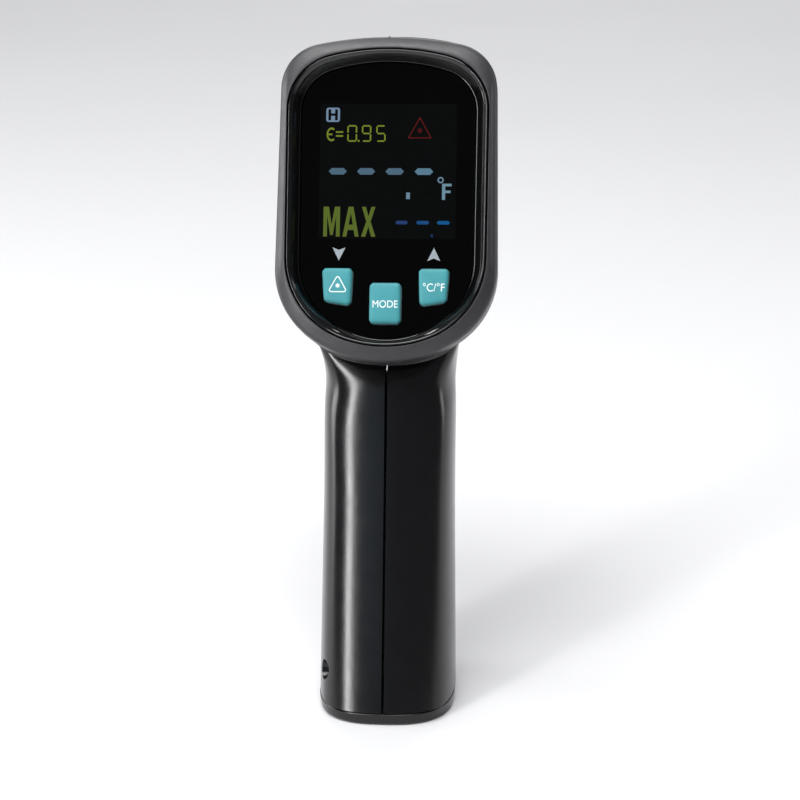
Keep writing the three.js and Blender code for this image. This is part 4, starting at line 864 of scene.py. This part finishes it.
def housing(side):
    """A half of the housing: side is -1 for the left and 1 for the right."""
    thing = half_shell(side)
    opening = DOOR_WIDTH / 2 + GAP
    notch = KNUCKLE_HALF + GAP
    hinge_y = (HINGE.y - BEHIND_HINGE, FAR)
    for hole in (
        block((-SLOT_HALF, SLOT_HALF), SLOT_Y, SLOT_Z),
        block((-opening, opening), hinge_y, (HINGE.z + SILL, DOOR_TOP + GAP)),
        block((-notch, notch), hinge_y, (HINGE.z - NOTCH_BELOW, HINGE.z + NOTCH_ABOVE)),
    ):
        combine(thing, hole, "DIFFERENCE")
    if side < 0:
        screw_bosses(thing)
    return thing


def screw_bosses(thing):
    """Bosses for the four case screws, each with a bore and a counterbore for the head."""
    for name in HOUSING_SCREWS:
        low, high = corners(name)
        place = ((low.y + high.y) / 2, (low.z + high.z) / 2)
        boss = rod(SCREW_BOSS, (-BOSS_REACH, -SEAM / 2), place)
        combine(boss, solid_object(*filled_inside()), "INTERSECT")
        combine(thing, boss, "UNION")
        combine(thing, rod(SCREW_BORE, (-BOSS_REACH - 5, 1), place), "DIFFERENCE")
        combine(thing, rod(SCREW_SINK, (-FAR, low.x + SINK_DEPTH), place), "DIFFERENCE")


def filled_inside():
    """The volume inside a surface within the wall, closed over its openings."""
    points = [p - n * WALL / 2 for p, n in zip(SURFACE_POINTS, SURFACE_NORMALS)]
    faces = list(SURFACE_QUADS)
    onward = dict(rim_edges(SURFACE_QUADS))
    while onward:
        start = next(iter(onward))
        loop = [start]
        at = onward.pop(start)
        while at != start:
            loop.append(at)
            at = onward.pop(at)
        faces.append(tuple(reversed(loop)))
    return points, faces


dress(housing(-1), BLACK, "housing", ("housing_left",), 40)
dress(housing(1), BLACK, "housing", ("housing_right",), 40)


def housing_screw(k):
    """A pan-head screw with a cross recess, sunk in its counterbore."""
    node = f"housing_screw_{k}"
    low, high = corners(node)
    centre = (low + high) / 2
    head, tip = low.x, high.x
    profile = [(AXIS, tip), (0.7, tip), (1.3, tip - 1.5), (1.3, head + 1.9), (2.3, head + 1.9)]
    profile += [(2.3, head + 0.9), (2.0, head + 0.4), (1.3, head + 0.1), (AXIS, head)]
    loops = [circle_at(x, radius, (centre.y, centre.z), 32) for radius, x in profile]
    thing = solid_object(*loft(loops))
    thing.name = f"case_screw_{k}"
    for wide, tall in ((0.34, 1.5), (1.5, 0.34)):
        across = (centre.y - wide, centre.y + wide), (centre.z - tall, centre.z + tall)
        combine(thing, block((head - 1, head + 1), *across), "DIFFERENCE")
    dress(thing, STEEL, "housing", (node,), 30)


for number in range(1, 5):
    housing_screw(number)


def end_cap():
    """The foot that closes the grip, with softly rounded lower edges."""
    profile = [(1.9, 0.0, 0), (0.25, 0.0, 1.0), (0.0, CAP_HEIGHT, 0.25), (WALL + 0.7, CAP_HEIGHT, 0.2)]
    stations = rounded_profile(profile + [(WALL + 0.7, CAP_HEIGHT + 2.6, 0)], 6)
    loops = []
    for inset, z in stations:
        level = max(z, RIM_Z) if z > CAP_HEIGHT else RIM_Z
        loops.append([Vector((p.x, p.y, z)) for p in grip_ring(level, 96, inset)])
    return weighted(piece("foot_cap", loft(loops), BLACK, "housing", ("grip_end_cap",)))


end_cap()

# ---------- display end ----------
FRAME_FLOOR = -6.2


def collar():
    """The dark grey collar round the display: its front slopes away towards its outer edge."""
    hole = shield(FRAME_LINE, -GAP)
    edge = shield(COLLAR_LINE, 1.0)
    side = [(0.7, -COLLAR_DEPTH), (0.2, -COLLAR_DEPTH + 0.15), (0.0, -COLLAR_DEPTH + 0.6)]
    side += [(0.0, -4.2), (0.0, -2.9), (0.1, -2.2), (0.35, -1.65), (0.65, -1.3)]
    loops = [at_depth(shield(COLLAR_LINE, inset), z) for inset, z in side]
    for k in range(7):
        share = k / 6
        slope = -1.08 * (1 - share) ** 1.35
        loops.append(at_depth(blended(edge, hole, share * 0.93), slope))
    loops.append(at_depth(blended(edge, hole, 0.975), -0.02))
    loops += [at_depth(hole, z) for z in (-0.14, -0.4, FRAME_FLOOR)]
    ledge = shield(FRAME_LINE, 2.6)
    loops += [at_depth(ledge, z) for z in (FRAME_FLOOR, FRAME_FLOOR - 2)]
    loops.append(at_depth(shield(COLLAR_LINE, 4.3), FRAME_FLOOR - 2))
    loops.append(at_depth(shield(COLLAR_LINE, 3.1), -COLLAR_DEPTH))
    skin = loft(loops, ring=True)
    return piece("collar", skin, CHARCOAL, "housing", ("rear_collar",), 38, FACE)


def mould_nub():
    """A small witness of the mould's gate on the collar's top edge."""
    top = FACE_HEIGHT / 2
    loops = []
    for k in range(7):
        z = -5.0 + 3.2 * k / 6
        size = 0.42 * math.sqrt(max(1 - ((k - 3) / 3.3) ** 2, 0.05))
        loop = []
        for a in range(12):
            angle = a * math.pi / 6
            y = top - 0.15 + size * 0.9 * math.sin(angle)
            loop.append(Vector((size * math.cos(angle), y, z)))
        loops.append(loop)
    return piece("collar_gate_mark", loft(loops), CHARCOAL, "housing", (), 50, FACE)


def display_frame():
    """The polished frame: a thin bead round its outside, then a slope down to the window."""
    bead = [(0.0, FRAME_FLOOR), (0.0, -0.62), (0.05, -0.42), (0.18, -0.27), (0.35, -0.24)]
    bead += [(0.52, -0.3), (0.64, -0.44)]
    loops = [at_depth(shield(FRAME_LINE, inset), z) for inset, z in bead]
    inner = shield(WINDOW_LINE, 0)
    crest = shield(FRAME_LINE, 0.74)
    low = -RECESS + 0.52
    for k in range(9):
        share = k / 8
        z = -0.58 + (low + 0.58) * (share ** 1.25)
        loops.append(at_depth(blended(crest, inner, share * 0.9), z))
    loops.append(at_depth(blended(crest, inner, 0.96), low - 0.02))
    loops.append(at_depth(blended(crest, inner, 0.99), low - 0.1))
    loops.append(at_depth(inner, low - 0.24))
    loops.append(at_depth(inner, FRAME_FLOOR))
    skin = loft(loops, ring=True)
    return piece("gloss_frame", skin, GLOSS, "housing", ("display_frame",), 50, FACE)


collar()
mould_nub()
display_frame()

KEY_FOOT = WINDOW_LINE["bottom"] + 4.0
SIDE_KEY = {"inner": 8.3, "outer": 16.1, "top": KEY_FOOT + 14.0, "height": 8.45}
SIDE_KEY_FOOT = SIDE_KEY["top"] - SIDE_KEY["height"]
LEFT_KEY = [
    (-SIDE_KEY["outer"], SIDE_KEY["top"]),
    (-SIDE_KEY["outer"] + 0.6, SIDE_KEY_FOOT),
    (-SIDE_KEY["inner"] - 0.3, SIDE_KEY_FOOT - 1.1),
    (-SIDE_KEY["inner"], SIDE_KEY["top"]),
]
KEYS = {
    "laser": LEFT_KEY,
    "mode": rectangle(-4.0, 4.0, KEY_FOOT, KEY_FOOT + 10.35),
    "units": [(-x, y) for x, y in reversed(LEFT_KEY)],
}
KEY_CORNER = 1.2
KEY_TOP = -RECESS + KEY_PROUD
WINDOW_BACK = -RECESS - WINDOW_THICKNESS
MARK_THICKNESS = 0.05


def flat_mesh(loops, thickness=MARK_THICKNESS):
    """A filled flat figure with holes, from closed loops in the plane."""
    curve = bpy.data.curves.new("figure", "CURVE")
    curve.dimensions = "2D"
    curve.fill_mode = "BOTH"
    curve.extrude = thickness / 2
    for loop in loops:
        spline = curve.splines.new("POLY")
        spline.points.add(len(loop) - 1)
        for point, (x, y) in zip(spline.points, loop):
            point.co = (x, y, 0, 1)
        spline.use_cyclic_u = True
    return curve_mesh(curve)


def curve_mesh(curve):
    thing = bpy.data.objects.new("figure", curve)
    bpy.context.scene.collection.objects.link(thing)
    made = evaluated_mesh(thing)
    bpy.data.objects.remove(thing)
    bpy.data.curves.remove(curve)
    return made


def text_mesh(text, box):
    """Lettering fitted into a box (x0, x1, y0, y1), in millimetres."""
    curve = bpy.data.curves.new("text", "FONT")
    curve.body = text
    curve.size = 10.0
    curve.extrude = MARK_THICKNESS / 2
    curve.fill_mode = "BOTH"
    mesh = curve_mesh(curve)
    xs = [v.co.x for v in mesh.vertices]
    ys = [v.co.y for v in mesh.vertices]
    x0, x1, y0, y1 = box
    wide, tall = (x1 - x0) / (max(xs) - min(xs)), (y1 - y0) / (max(ys) - min(ys))
    for vertex in mesh.vertices:
        vertex.co.x = x0 + (vertex.co.x - min(xs)) * wide
        vertex.co.y = y0 + (vertex.co.y - min(ys)) * tall
    return mesh


def on_front(name, mesh, z, material, body="housing", slot=None, replaces=(), lift=0.0, stretch=1.0):
    """A flat mesh in millimetres laid on the face at a depth, moved up it and made taller."""
    mesh.name = name
    mesh.transform(Matrix.Diagonal((1, stretch, 1, 1)))
    mesh.transform(Matrix.Scale(MM, 4) @ FACE @ Matrix.Translation((0, lift, z)))
    return dress(bpy.data.objects.new(name, mesh), material, body, replaces, 30)


def display_window():
    """The window plate, with a hole for each key and a narrow polished edge."""
    loops = [shield(WINDOW_LINE, GAP)]
    loops += [rounded_polygon(line, KEY_CORNER, -GAP - 0.05) for line in KEYS.values()]
    mesh = flat_mesh(loops, WINDOW_THICKNESS)
    depth = -RECESS - WINDOW_THICKNESS / 2
    return on_front("window", mesh, depth, WINDOW, "housing", "window_black", ("display_window",))


display_window()


KEY_EDGE = 0.85
KEY_CROWN_REACH = 3.2


def key(name):
    """A soft key: steep sides, a generous round edge and a slightly crowned top."""
    line = KEYS[name]
    edge = [(0.0, WINDOW_BACK - 0.8), (0.0, KEY_TOP - 0.85), (0.06, KEY_TOP - 0.55)]
    edge += [(0.22, KEY_TOP - 0.3), (0.48, KEY_TOP - 0.12), (KEY_EDGE, KEY_TOP - 0.03)]
    edge += [(1.5, KEY_TOP), (2.4, KEY_TOP + 0.03)]
    loops = []
    centre = sum((Vector(corner) for corner in line), Vector((0, 0))) / 4
    for inset, z in edge:
        if inset <= KEY_EDGE:
            outline = rounded_polygon(line, KEY_CORNER, inset, 8)
        else:
            outer = rounded_polygon(line, KEY_CORNER, KEY_EDGE, 8)
            share = (inset - KEY_EDGE) / KEY_CROWN_REACH
            outline = [p.lerp(centre, share) for p in outer]
        loops.append(at_depth(outline, z))
    body, replaced = f"{name}_key", (f"key_{name}",)
    piece(f"keycap_{name}", loft(loops), TURQUOISE, body, replaced, 60, FACE)


for key_name in KEYS:
    key(key_name)

PRINT_WHITE = printed("print_white", srgb(214, 226, 226))
PRINT_GREY = printed("print_grey", srgb(128, 136, 142))
KEY_MARK_Z = KEY_TOP + 0.035
MARKS = {"lift": 0.37, "stretch": 1.015}
FIGURES = {"lift": 0.69, "stretch": 1.015}
GLASS_Z = -RECESS + 0.012


def outlined(points, radius, width):
    """A closed line of a given width round a polygon: its outer and inner loops."""
    return [rounded_polygon(points, radius, 0.0), rounded_polygon(points, radius, width)]


def star(x, y, inner, outer):
    """An eight-pointed burst."""
    made = []
    for k in range(16):
        radius = outer if k % 2 == 0 else inner
        angle = math.pi * k / 8
        made.append((x + radius * math.sin(angle), y + radius * math.cos(angle)))
    return list(reversed(made))


def circle(x, y, radius):
    angles = [math.pi * k / 12 for k in range(24)]
    return [(x + radius * math.cos(angle), y + radius * math.sin(angle)) for angle in angles]


def key_marks():
    """A triangle with a burst, and plain words, printed on the keys."""
    triangle = [(-14.55, -23.85), (-9.45, -23.85), (-12.0, -19.3)]
    beam = flat_mesh([*outlined(triangle, 0.55, 0.24), star(-12.0, -22.2, 0.34, 0.72)])
    on_front("key_mark_laser", beam, KEY_MARK_Z, PRINT_WHITE, "laser_key", **MARKS)
    mode = text_mesh("MODE", (-3.1, 3.2, -27.6, -25.8))
    on_front("key_mark_mode", mode, KEY_MARK_Z, PRINT_WHITE, "mode_key", **MARKS)
    units = text_mesh("°C/°F", (9.5, 14.9, -23.5, -21.4))
    on_front("key_mark_units", units, KEY_MARK_Z, PRINT_WHITE, "units_key", **MARKS)


def arrowhead(x, y0, y1):
    """An arrowhead with a notched back, from its tail line to its tip."""
    half = 1.65
    notch = y0 + (y1 - y0) * 0.2
    return [(x - half, y0), (x, notch), (x + half, y0), (x, y1)]


def arrows():
    """The small arrows above the outer keys."""
    loops = [arrowhead(-12.0, -12.7, -16.0), arrowhead(12.0, -16.0, -12.7)]
    on_front("window_arrows", flat_mesh(loops, 0.03), GLASS_Z, PRINT_GREY, **FIGURES)


key_marks()
arrows()

# ---------- the lit display ----------
LCD_HALF = 17.3
LCD_TOP, LCD_BOTTOM = 23.5, -10.5
SEGMENT_Z = GLASS_Z + 0.02
FIGURE_THICKNESS = 0.02


def bar(x0, x1, y0, y1, point=0.0):
    """A horizontal bar, with its ends drawn to a point."""
    if not point:
        return rectangle(x0, x1, y0, y1)
    half = (y0 + y1) / 2
    left, right = x0 + point, x1 - point
    return [(x0, half), (left, y0), (right, y0), (x1, half), (right, y1), (left, y1)]


SEGMENTS = {"0": "abcdef", "5": "acdfg", "9": "abcdfg"}


def digit(character, x0, x1, y0, y1, width):
    """A seven-segment digit as separate bars."""
    mid = (y0 + y1) / 2
    gap = width * 0.22
    half = width / 2

    def across(y):
        left, right = x0 + width + gap * 0.6, x1 - width - gap * 0.6
        return [(x0 + half + gap, y), (left, y - half), (right, y - half),
                (x1 - half - gap, y), (right, y + half), (left, y + half)]

    def upright(x, low, high):
        foot, head = low + half + gap, high - half - gap
        return [(x, low + half * 0.4 + gap), (x + half, foot), (x + half, head),
                (x, high - half * 0.4 - gap), (x - half, head), (x - half, foot)]

    bars = {
        "a": across(y1 - half),
        "g": across(mid),
        "d": across(y0 + half),
        "f": upright(x0 + half, mid, y1 - half * 0.6),
        "b": upright(x1 - half, mid, y1 - half * 0.6),
        "e": upright(x0 + half, y0 + half * 0.6, mid),
        "c": upright(x1 - half, y0 + half * 0.6, mid),
    }
    return [bars[letter] for letter in SEGMENTS[character]]


def epsilon(x0, x1, y0, y1, width):
    """A round letter with a bar across its middle."""
    radius = (y1 - y0) / 2
    middle_x, middle_y = x0 + radius - 0.1, (y0 + y1) / 2
    squeeze = (x1 - x0) / (2 * radius) * 1.25
    start, end = math.radians(52), math.radians(308)

    def bow(reach):
        turns = [start + (end - start) * k / 16 for k in range(17)]
        wide = reach * squeeze
        return [(middle_x + wide * math.cos(a), middle_y + reach * math.sin(a)) for a in turns]

    arc = bow(radius) + list(reversed(bow(radius - width)))
    half = width * 0.42
    return arc, rectangle(x0 + width * 0.9, x1 - 0.15, middle_y - half, middle_y + half)


def segments(name, loops, colour):
    """Figures of one colour on the display; each loop that lies inside another is a hole in it."""
    figure = flat_mesh(loops, FIGURE_THICKNESS)
    return on_front(name, figure, SEGMENT_Z, lit(name, colour), slot="lcd_glass", **FIGURES)


# Bold capitals in a unit square. The A's second loop is its hole.
HALF_M = [(0.5, 0.05), (0.42, 0.05), (0.23, 0.7), (0.23, 0), (0, 0), (0, 1), (0.32, 1), (0.5, 0.4)]
HALF_X = [(0.5, 0.34), (0.3, 0), (0, 0), (0.35, 0.51), (0.03, 1), (0.31, 1), (0.5, 0.68)]


def mirrored(half):
    """A left half and its mirror image as one loop."""
    return half + [(1 - x, y) for x, y in reversed(half) if x != 0.5]


LETTERS = {
    "M": [mirrored(HALF_M)],
    "A": [[(0, 0), (0.35, 1), (0.65, 1), (1, 0), (0.76, 0), (0.69, 0.22), (0.31, 0.22), (0.24, 0)],
          [(0.37, 0.4), (0.63, 0.4), (0.5, 0.8)]],
    "X": [mirrored(HALF_X)],
}


def display():
    """What the panel shows: a maximum with no reading yet, and the emissivity."""
    glass = lit("lcd_ground", srgb(6, 9, 9), 0.5)
    outline = rounded_polygon(rectangle(-LCD_HALF, LCD_HALF, LCD_BOTTOM, LCD_TOP), 0.3)
    area = flat_mesh([outline], FIGURE_THICKNESS)
    on_front("lcd_ground", area, -RECESS + 0.002, glass, slot="lcd_glass", **FIGURES)
    pale = srgb(104, 132, 150)
    box = rounded_polygon(rectangle(-15.9, -12.4, 18.9, 22.5), 0.6)
    letter = [(-15.35, 19.3), (-14.65, 19.3), (-14.65, 20.45), (-13.65, 20.45),
              (-13.65, 19.3), (-12.95, 19.3), (-12.95, 22.1), (-13.65, 22.1),
              (-13.65, 21.05), (-14.65, 21.05), (-14.65, 22.1), (-15.35, 22.1)]
    segments("lcd_hold", [box, letter], srgb(112, 136, 160))
    yellow = srgb(118, 132, 44)
    low, high, stroke = 13.9, 18.1, 0.36
    arc, tongue = epsilon(-16.1, -14.1, 14.0, 17.5, 0.5)
    figure = [arc, bar(-13.35, -11.5, 16.15, 16.55), bar(-13.35, -11.5, 15.15, 15.55)]
    figure += digit("0", -10.45, -7.95, low, high, stroke)
    figure += [rectangle(-7.75, -7.3, low, low + 0.45)]
    figure += digit("9", -6.75, -4.35, low, high, stroke)
    figure += digit("5", -3.1, -0.7, low, high, stroke)
    segments("lcd_emissivity", figure, yellow)
    segments("lcd_emissivity_bar", [tongue], yellow)
    triangle = [(4.9, 14.8), (11.0, 14.8), (7.95, 20.3)]
    segments("lcd_laser", outlined(triangle, 0.12, 0.24), srgb(92, 22, 22))
    segments("lcd_laser_dot", [circle(7.95, 16.75, 0.62)], srgb(70, 14, 18))
    dashes = (-15.0, -10.4), (-7.8, -3.2), (-0.6, 4.1), (6.8, 11.5)
    for k, (x0, x1) in enumerate(dashes):
        colour = srgb(88, 122, 142) if k == 3 else srgb(76, 102, 121)
        segments(f"lcd_dash_{k + 1}", [bar(x0, x1, 5.6, 7.25, 0.8)], colour)
    segments("lcd_point", [rectangle(4.75, 5.7, -0.5, 1.15)], pale)
    segments("lcd_degree", [circle(13.4, 4.3, 0.8), circle(13.4, 4.3, 0.45)], pale)
    stem = [(13.8, -0.65), (14.6, -0.65), (14.6, 1.05), (15.95, 1.05), (15.95, 1.7),
            (14.6, 1.7), (14.6, 2.75), (16.2, 2.75), (16.2, 3.4), (13.8, 3.4)]
    segments("lcd_fahrenheit", [stem], srgb(106, 140, 156))
    word = []
    for letter, x0, x1 in (("M", -16.1, -11.9), ("A", -11.2, -7.1), ("X", -6.5, -2.85)):
        for loop in LETTERS[letter]:
            word.append([(x0 + (x1 - x0) * x, -10.0 + 7.5 * y) for x, y in loop])
    segments("lcd_max", word, srgb(88, 104, 40))
    blues = (srgb(36, 60, 110), srgb(26, 72, 126), srgb(16, 84, 140))
    for k, (x0, x1) in enumerate(((2.15, 5.3), (7.4, 10.7), (12.6, 15.9))):
        segments(f"lcd_small_dash_{k + 1}", [bar(x0, x1, -6.85, -5.95, 0.35)], blues[k])
    segments("lcd_small_point", [rectangle(11.15, 11.65, -10.0, -9.3)], srgb(26, 50, 100))


display()

# ---------- nose ----------
LENS_AXIS = middle("ir_lens")
LASER_AXIS = middle("laser_lens")
BARREL_FRONT = corners("optic_barrel")[1].y


def nose_bezel():
    """The front ring, with a stepped funnel in front of the lens and the laser's aperture."""
    last = len(HEAD_BOTTOM_AT) - 1
    inner = BARREL_FRONT + GAP
    plug = NOSE_Y - BEZEL_THICKNESS
    profile = [(WALL + 0.5, inner, 0), (WALL + 0.5, plug, 0.1), (0.0, plug, 0.15)]
    profile += [(0.0, NOSE_Y, 0.9), (4.0, NOSE_Y, 0)]
    loops = []
    for inset, y in rounded_profile(profile, 8):
        loops.append([Vector((p.x, y, p.z)) for p in head_ring(last, 96, inset)])
    thing = solid_object(*loft(loops))
    thing.name = "nose_ring"
    steps = [LENS_RADIUS + wider for wider in (0, 0.8, 1.6, 2.6)]
    funnel = [(AXIS, inner - 1), (steps[0], inner - 1), (steps[0], inner + 0.8)]
    funnel += [(steps[1], inner + 0.8), (steps[1], inner + 2.0), (steps[2], inner + 2.0)]
    funnel += [(steps[2], inner + 3.4), (steps[3], NOSE_Y + 1), (AXIS, NOSE_Y + 1)]
    combine(thing, solid_object(*lathe(funnel, (0, LENS_AXIS.z), 96)), "DIFFERENCE")
    laser = [(AXIS, inner - 1), (2.2, inner - 1), (2.2, NOSE_Y - 0.9)]
    laser += [(3.3, NOSE_Y + 0.2), (AXIS, NOSE_Y + 0.2)]
    combine(thing, solid_object(*lathe(laser, (0, LASER_AXIS.z), 48)), "DIFFERENCE")
    return dress(thing, BLACK, "housing", ("nose_bezel",), 35)


def lens():
    """The front lens: a straight rim and a domed face."""
    low, high = corners("ir_lens")
    rim_y = low.y + 1.2
    profile = [(AXIS, low.y + 0.3), (LENS_RADIUS, low.y), (LENS_RADIUS, rim_y)]
    for k in range(1, 13):
        share = 1 - k / 12
        dome = rim_y + (high.y - rim_y) * (1 - share * share)
        profile.append((max(LENS_RADIUS * share, AXIS), dome))
    skin = lathe(profile, (0, LENS_AXIS.z), 72)
    return piece("front_lens", skin, LENS, "housing", ("ir_lens",), 40)


nose_bezel()
lens()


# ---------- trigger ----------
def arc_points(centre, radius, start, end, steps):
    made = []
    for k in range(steps + 1):
        angle = start + (end - start) * k / steps
        made.append(Vector((centre[0] + radius * math.cos(angle), centre[1] + radius * math.sin(angle))))
    return made


def curve_points(points, steps=14):
    """A Bezier curve of any degree, without its first point."""
    made = []
    for k in range(1, steps + 1):
        t = k / steps
        level = [Vector(point) for point in points]
        while len(level) > 1:
            level = [a.lerp(b, t) for a, b in zip(level, level[1:])]
        made.append(level[0])
    return made


def trigger():
    """The trigger's side outline, given its width and soft edges."""
    back = PIVOT.y - 9.3
    tip = TRIGGER_LOW.z
    brow = PIVOT.z - 4.4
    heel, toe, lip = (back, tip + 5.2), (PIVOT.y + 6.1, tip), (PIVOT.y + 8.5, tip + 3.2)
    ridge_top, shoulder = (PIVOT.y + 9.5, brow), (PIVOT.y + 4.2, PIVOT.z + 1)
    outline = [Vector(heel)]
    outline += curve_points([heel, (PIVOT.y - 1.5, tip + 0.6), toe])
    outline += curve_points([toe, (PIVOT.y + 9.1, tip + 0.1), lip], 8)
    hollow = [(PIVOT.y + 5.1, tip + 10.7), (PIVOT.y + 4.9, brow - 6.6)]
    outline += curve_points([lip, *hollow, ridge_top], 18)
    outline += curve_points([ridge_top, (PIVOT.y + 8.5, brow + 5), shoulder], 10)
    outline += arc_points((PIVOT.y, PIVOT.z), 4.2, 0.24, math.pi, 14)
    outline.append(Vector((back, PIVOT.z - 8)))
    half = TRIGGER_HIGH.x
    loops = [[Vector((x, p.x, p.y)) for p in outline] for x in (-half, half)]
    thing = solid_object(*loft(loops))
    with_bevel(thing, 1.5, 5, 50)
    combine(thing, rod(1.75, (-FAR, FAR), (PIVOT.y, PIVOT.z)), "DIFFERENCE")
    thing.name = "trigger_lever"
    return dress(thing, BLACK, "trigger_body", ("trigger",), 35)


trigger()


# ---------- battery door ----------
def battery_door():
    """The part of the grip's front wall between the door's edges, with its hinge knuckle."""
    thing = solid_object(shell_points(), shell_faces())
    half = DOOR_WIDTH / 2
    upper = block((-half, half), (HINGE.y - 6, FAR), (HINGE.z + 4.5, DOOR_TOP))
    lower = block((-KNUCKLE_HALF, KNUCKLE_HALF), (HINGE.y - 1, FAR), (HINGE.z, HINGE.z + 4.6))
    combine(upper, lower, "UNION")
    combine(thing, upper, "INTERSECT")
    combine(thing, rod(3.2, (-KNUCKLE_HALF, KNUCKLE_HALF), (HINGE.y, HINGE.z), 48), "UNION")
    combine(thing, rod(1.25, (-FAR, FAR), (HINGE.y, HINGE.z)), "DIFFERENCE")
    for k in range(5):
        z = DOOR_TOP - 5.0 - 2.6 * k
        combine(thing, ridge(z, 8.5 - 0.5 * k), "UNION")
    thing.name = "door_panel"
    return dress(thing, BLACK, "door", ("battery_door",), 35)


def ridge(z, half):
    """A low rounded rib across the door, for the thumb."""
    loops = []
    steps = 16
    for k in range(steps + 1):
        share = 2 * k / steps - 1
        x = half * share
        size = 0.75 * math.sqrt(max(1 - share ** 6, 0.04))
        y = grip_surface_y(x, z) - 0.3
        loops.append(circle_at(x, size, (y, z), 12))
    return solid_object(*loft(loops))


battery_door()

# ---------- carried-over nodes ----------
FINISHES = {
    STEEL: ("board_screw_1", "board_screw_2", "board_screw_3", "board_screw_4", "main_board_screw_1",
            "main_board_screw_2", "tact_switch_laser", "tact_switch_mode", "tact_switch_units",
            "thermopile_sensor", "trigger_pin", "trigger_spring", "door_hinge_pin"),
    BRASS: ("laser_module",),
    LASER_GLASS: ("laser_lens",),
    BOARD: ("display_board", "main_board", "sensor_board"),
    IVORY: ("lcd_backlight", "display_connector", "display_ribbon", "ribbon_socket", "sensor_ribbon",
            "tact_plunger_laser", "tact_plunger_mode", "tact_plunger_units", "trigger_switch_plunger"),
    INNER: ("lcd_holder", "microcontroller", "buzzer", "optic_barrel", "lens_retainer", "trigger_switch",
            "battery_snap"),
    WINDOW: ("lcd_panel",),
    BATTERY: ("battery",),
    WIRE_RED: ("laser_wire_red", "battery_wire_red"),
    WIRE_BLACK: ("laser_wire_black", "battery_wire_black"),
}


CARRIED_SHARP = 32


def carried_over():
    """CAD nodes whose shape is right keep it and take a finish."""
    for material, names in FINISHES.items():
        for name in names:
            node = frame["nodes"][name]
            node.data.materials.clear()
            node.data.materials.append(material)
            shade_smooth(node.data, CARRIED_SHARP)


carried_over()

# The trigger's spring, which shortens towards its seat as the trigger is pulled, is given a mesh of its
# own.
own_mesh(frame["nodes"]["trigger_spring"])


# ---------- stage ----------
def floor():
    surface = Surface("floor", (0.6, 0.6, 0.61, 1), 0.6)
    surface.grain((8.0, 0.05, 0.2, 2.0))
    material = surface.finish(0.015, 0.05, 0.0, None, 400.0)
    mesh = bpy.data.meshes.new("floor")
    reach = 12.0
    square = [(x, y, 0) for x, y in rectangle(-reach, reach, -reach, reach)]
    mesh.from_pydata(square, [], [(0, 1, 2, 3)])
    mesh.materials.append(material)
    thing = bpy.data.objects.new("floor", mesh)
    bpy.context.scene.collection.objects.link(thing)


HEAD_MIDDLE = FACE_ORIGIN * MM - Vector((0, 0, 0.03))


def towards(azimuth, elevation):
    """A direction out from the instrument. Azimuth 0 is behind the user and 90 is to the right."""
    a, e = math.radians(azimuth), math.radians(elevation)
    return Vector((math.sin(a) * math.cos(e), -math.cos(a) * math.cos(e), math.sin(e)))


def softbox(name, angles, distance, size, radiance, colour=(1, 1, 1), aim=HEAD_MIDDLE):
    """A rectangular light of a width and height that looks at a point from (azimuth, elevation)."""
    back = towards(*angles)
    width, height = size
    data = bpy.data.lights.new(name, "AREA")
    data.shape = "RECTANGLE"
    data.size, data.size_y = width, height
    data.energy = radiance * math.pi * width * height
    data.color = colour
    light = bpy.data.objects.new(name, data)
    light.location = aim + back * distance
    light.rotation_mode = "QUATERNION"
    light.rotation_quaternion = back.to_track_quat("Z", "Y")
    bpy.context.scene.collection.objects.link(light)


def camera():
    """Behind the user, a little above and to the right, as the photograph was taken."""
    distance, roll = 0.55, math.radians(-0.6)
    target = (FACE_ORIGIN - FACE_UP * 51 + Vector((4.35, 0, 0))) * MM
    data = bpy.data.cameras.new("camera")
    data.angle = math.radians(20.75)
    data.clip_start, data.clip_end = 0.01, 50
    thing = bpy.data.objects.new("camera", data)
    thing.location = FACE_ORIGIN * MM + towards(4.5, 12) * distance
    thing.rotation_mode = "QUATERNION"
    turned = (thing.location - target).normalized().to_track_quat("Z", "Y")
    thing.rotation_quaternion = turned @ Matrix.Rotation(roll, 3, "Z").to_quaternion()
    bpy.context.scene.collection.objects.link(thing)
    bpy.context.scene.camera = thing


def world():
    """A weak, slightly cool light from everywhere."""
    made = bpy.data.worlds.new("studio")
    made.use_nodes = True
    background = made.node_tree.nodes["Background"]
    background.inputs["Color"].default_value = (0.9, 0.93, 1, 1)
    background.inputs["Strength"].default_value = 0.16
    bpy.context.scene.world = made
    bpy.context.scene.view_settings.view_transform = "Standard"


floor()
softbox("left_strip", (-39, 12), 1.1, (0.13, 0.9), 26)
softbox("left_sheen", (-16, 16), 1.4, (0.5, 0.5), 0.35, (0.55, 0.78, 1))
softbox("overhead", (-25, 74), 1.1, (0.9, 0.7), 9)
softbox("left_side", (-98, 14), 1.2, (0.6, 0.8), 6)
softbox("right_side", (106, 14), 1.2, (0.3, 0.8), 3)
softbox("backdrop", (180, 60), 1.9, (2.4, 1.6), 3, aim=Vector((0, 1.1, 0)))
camera()
world()
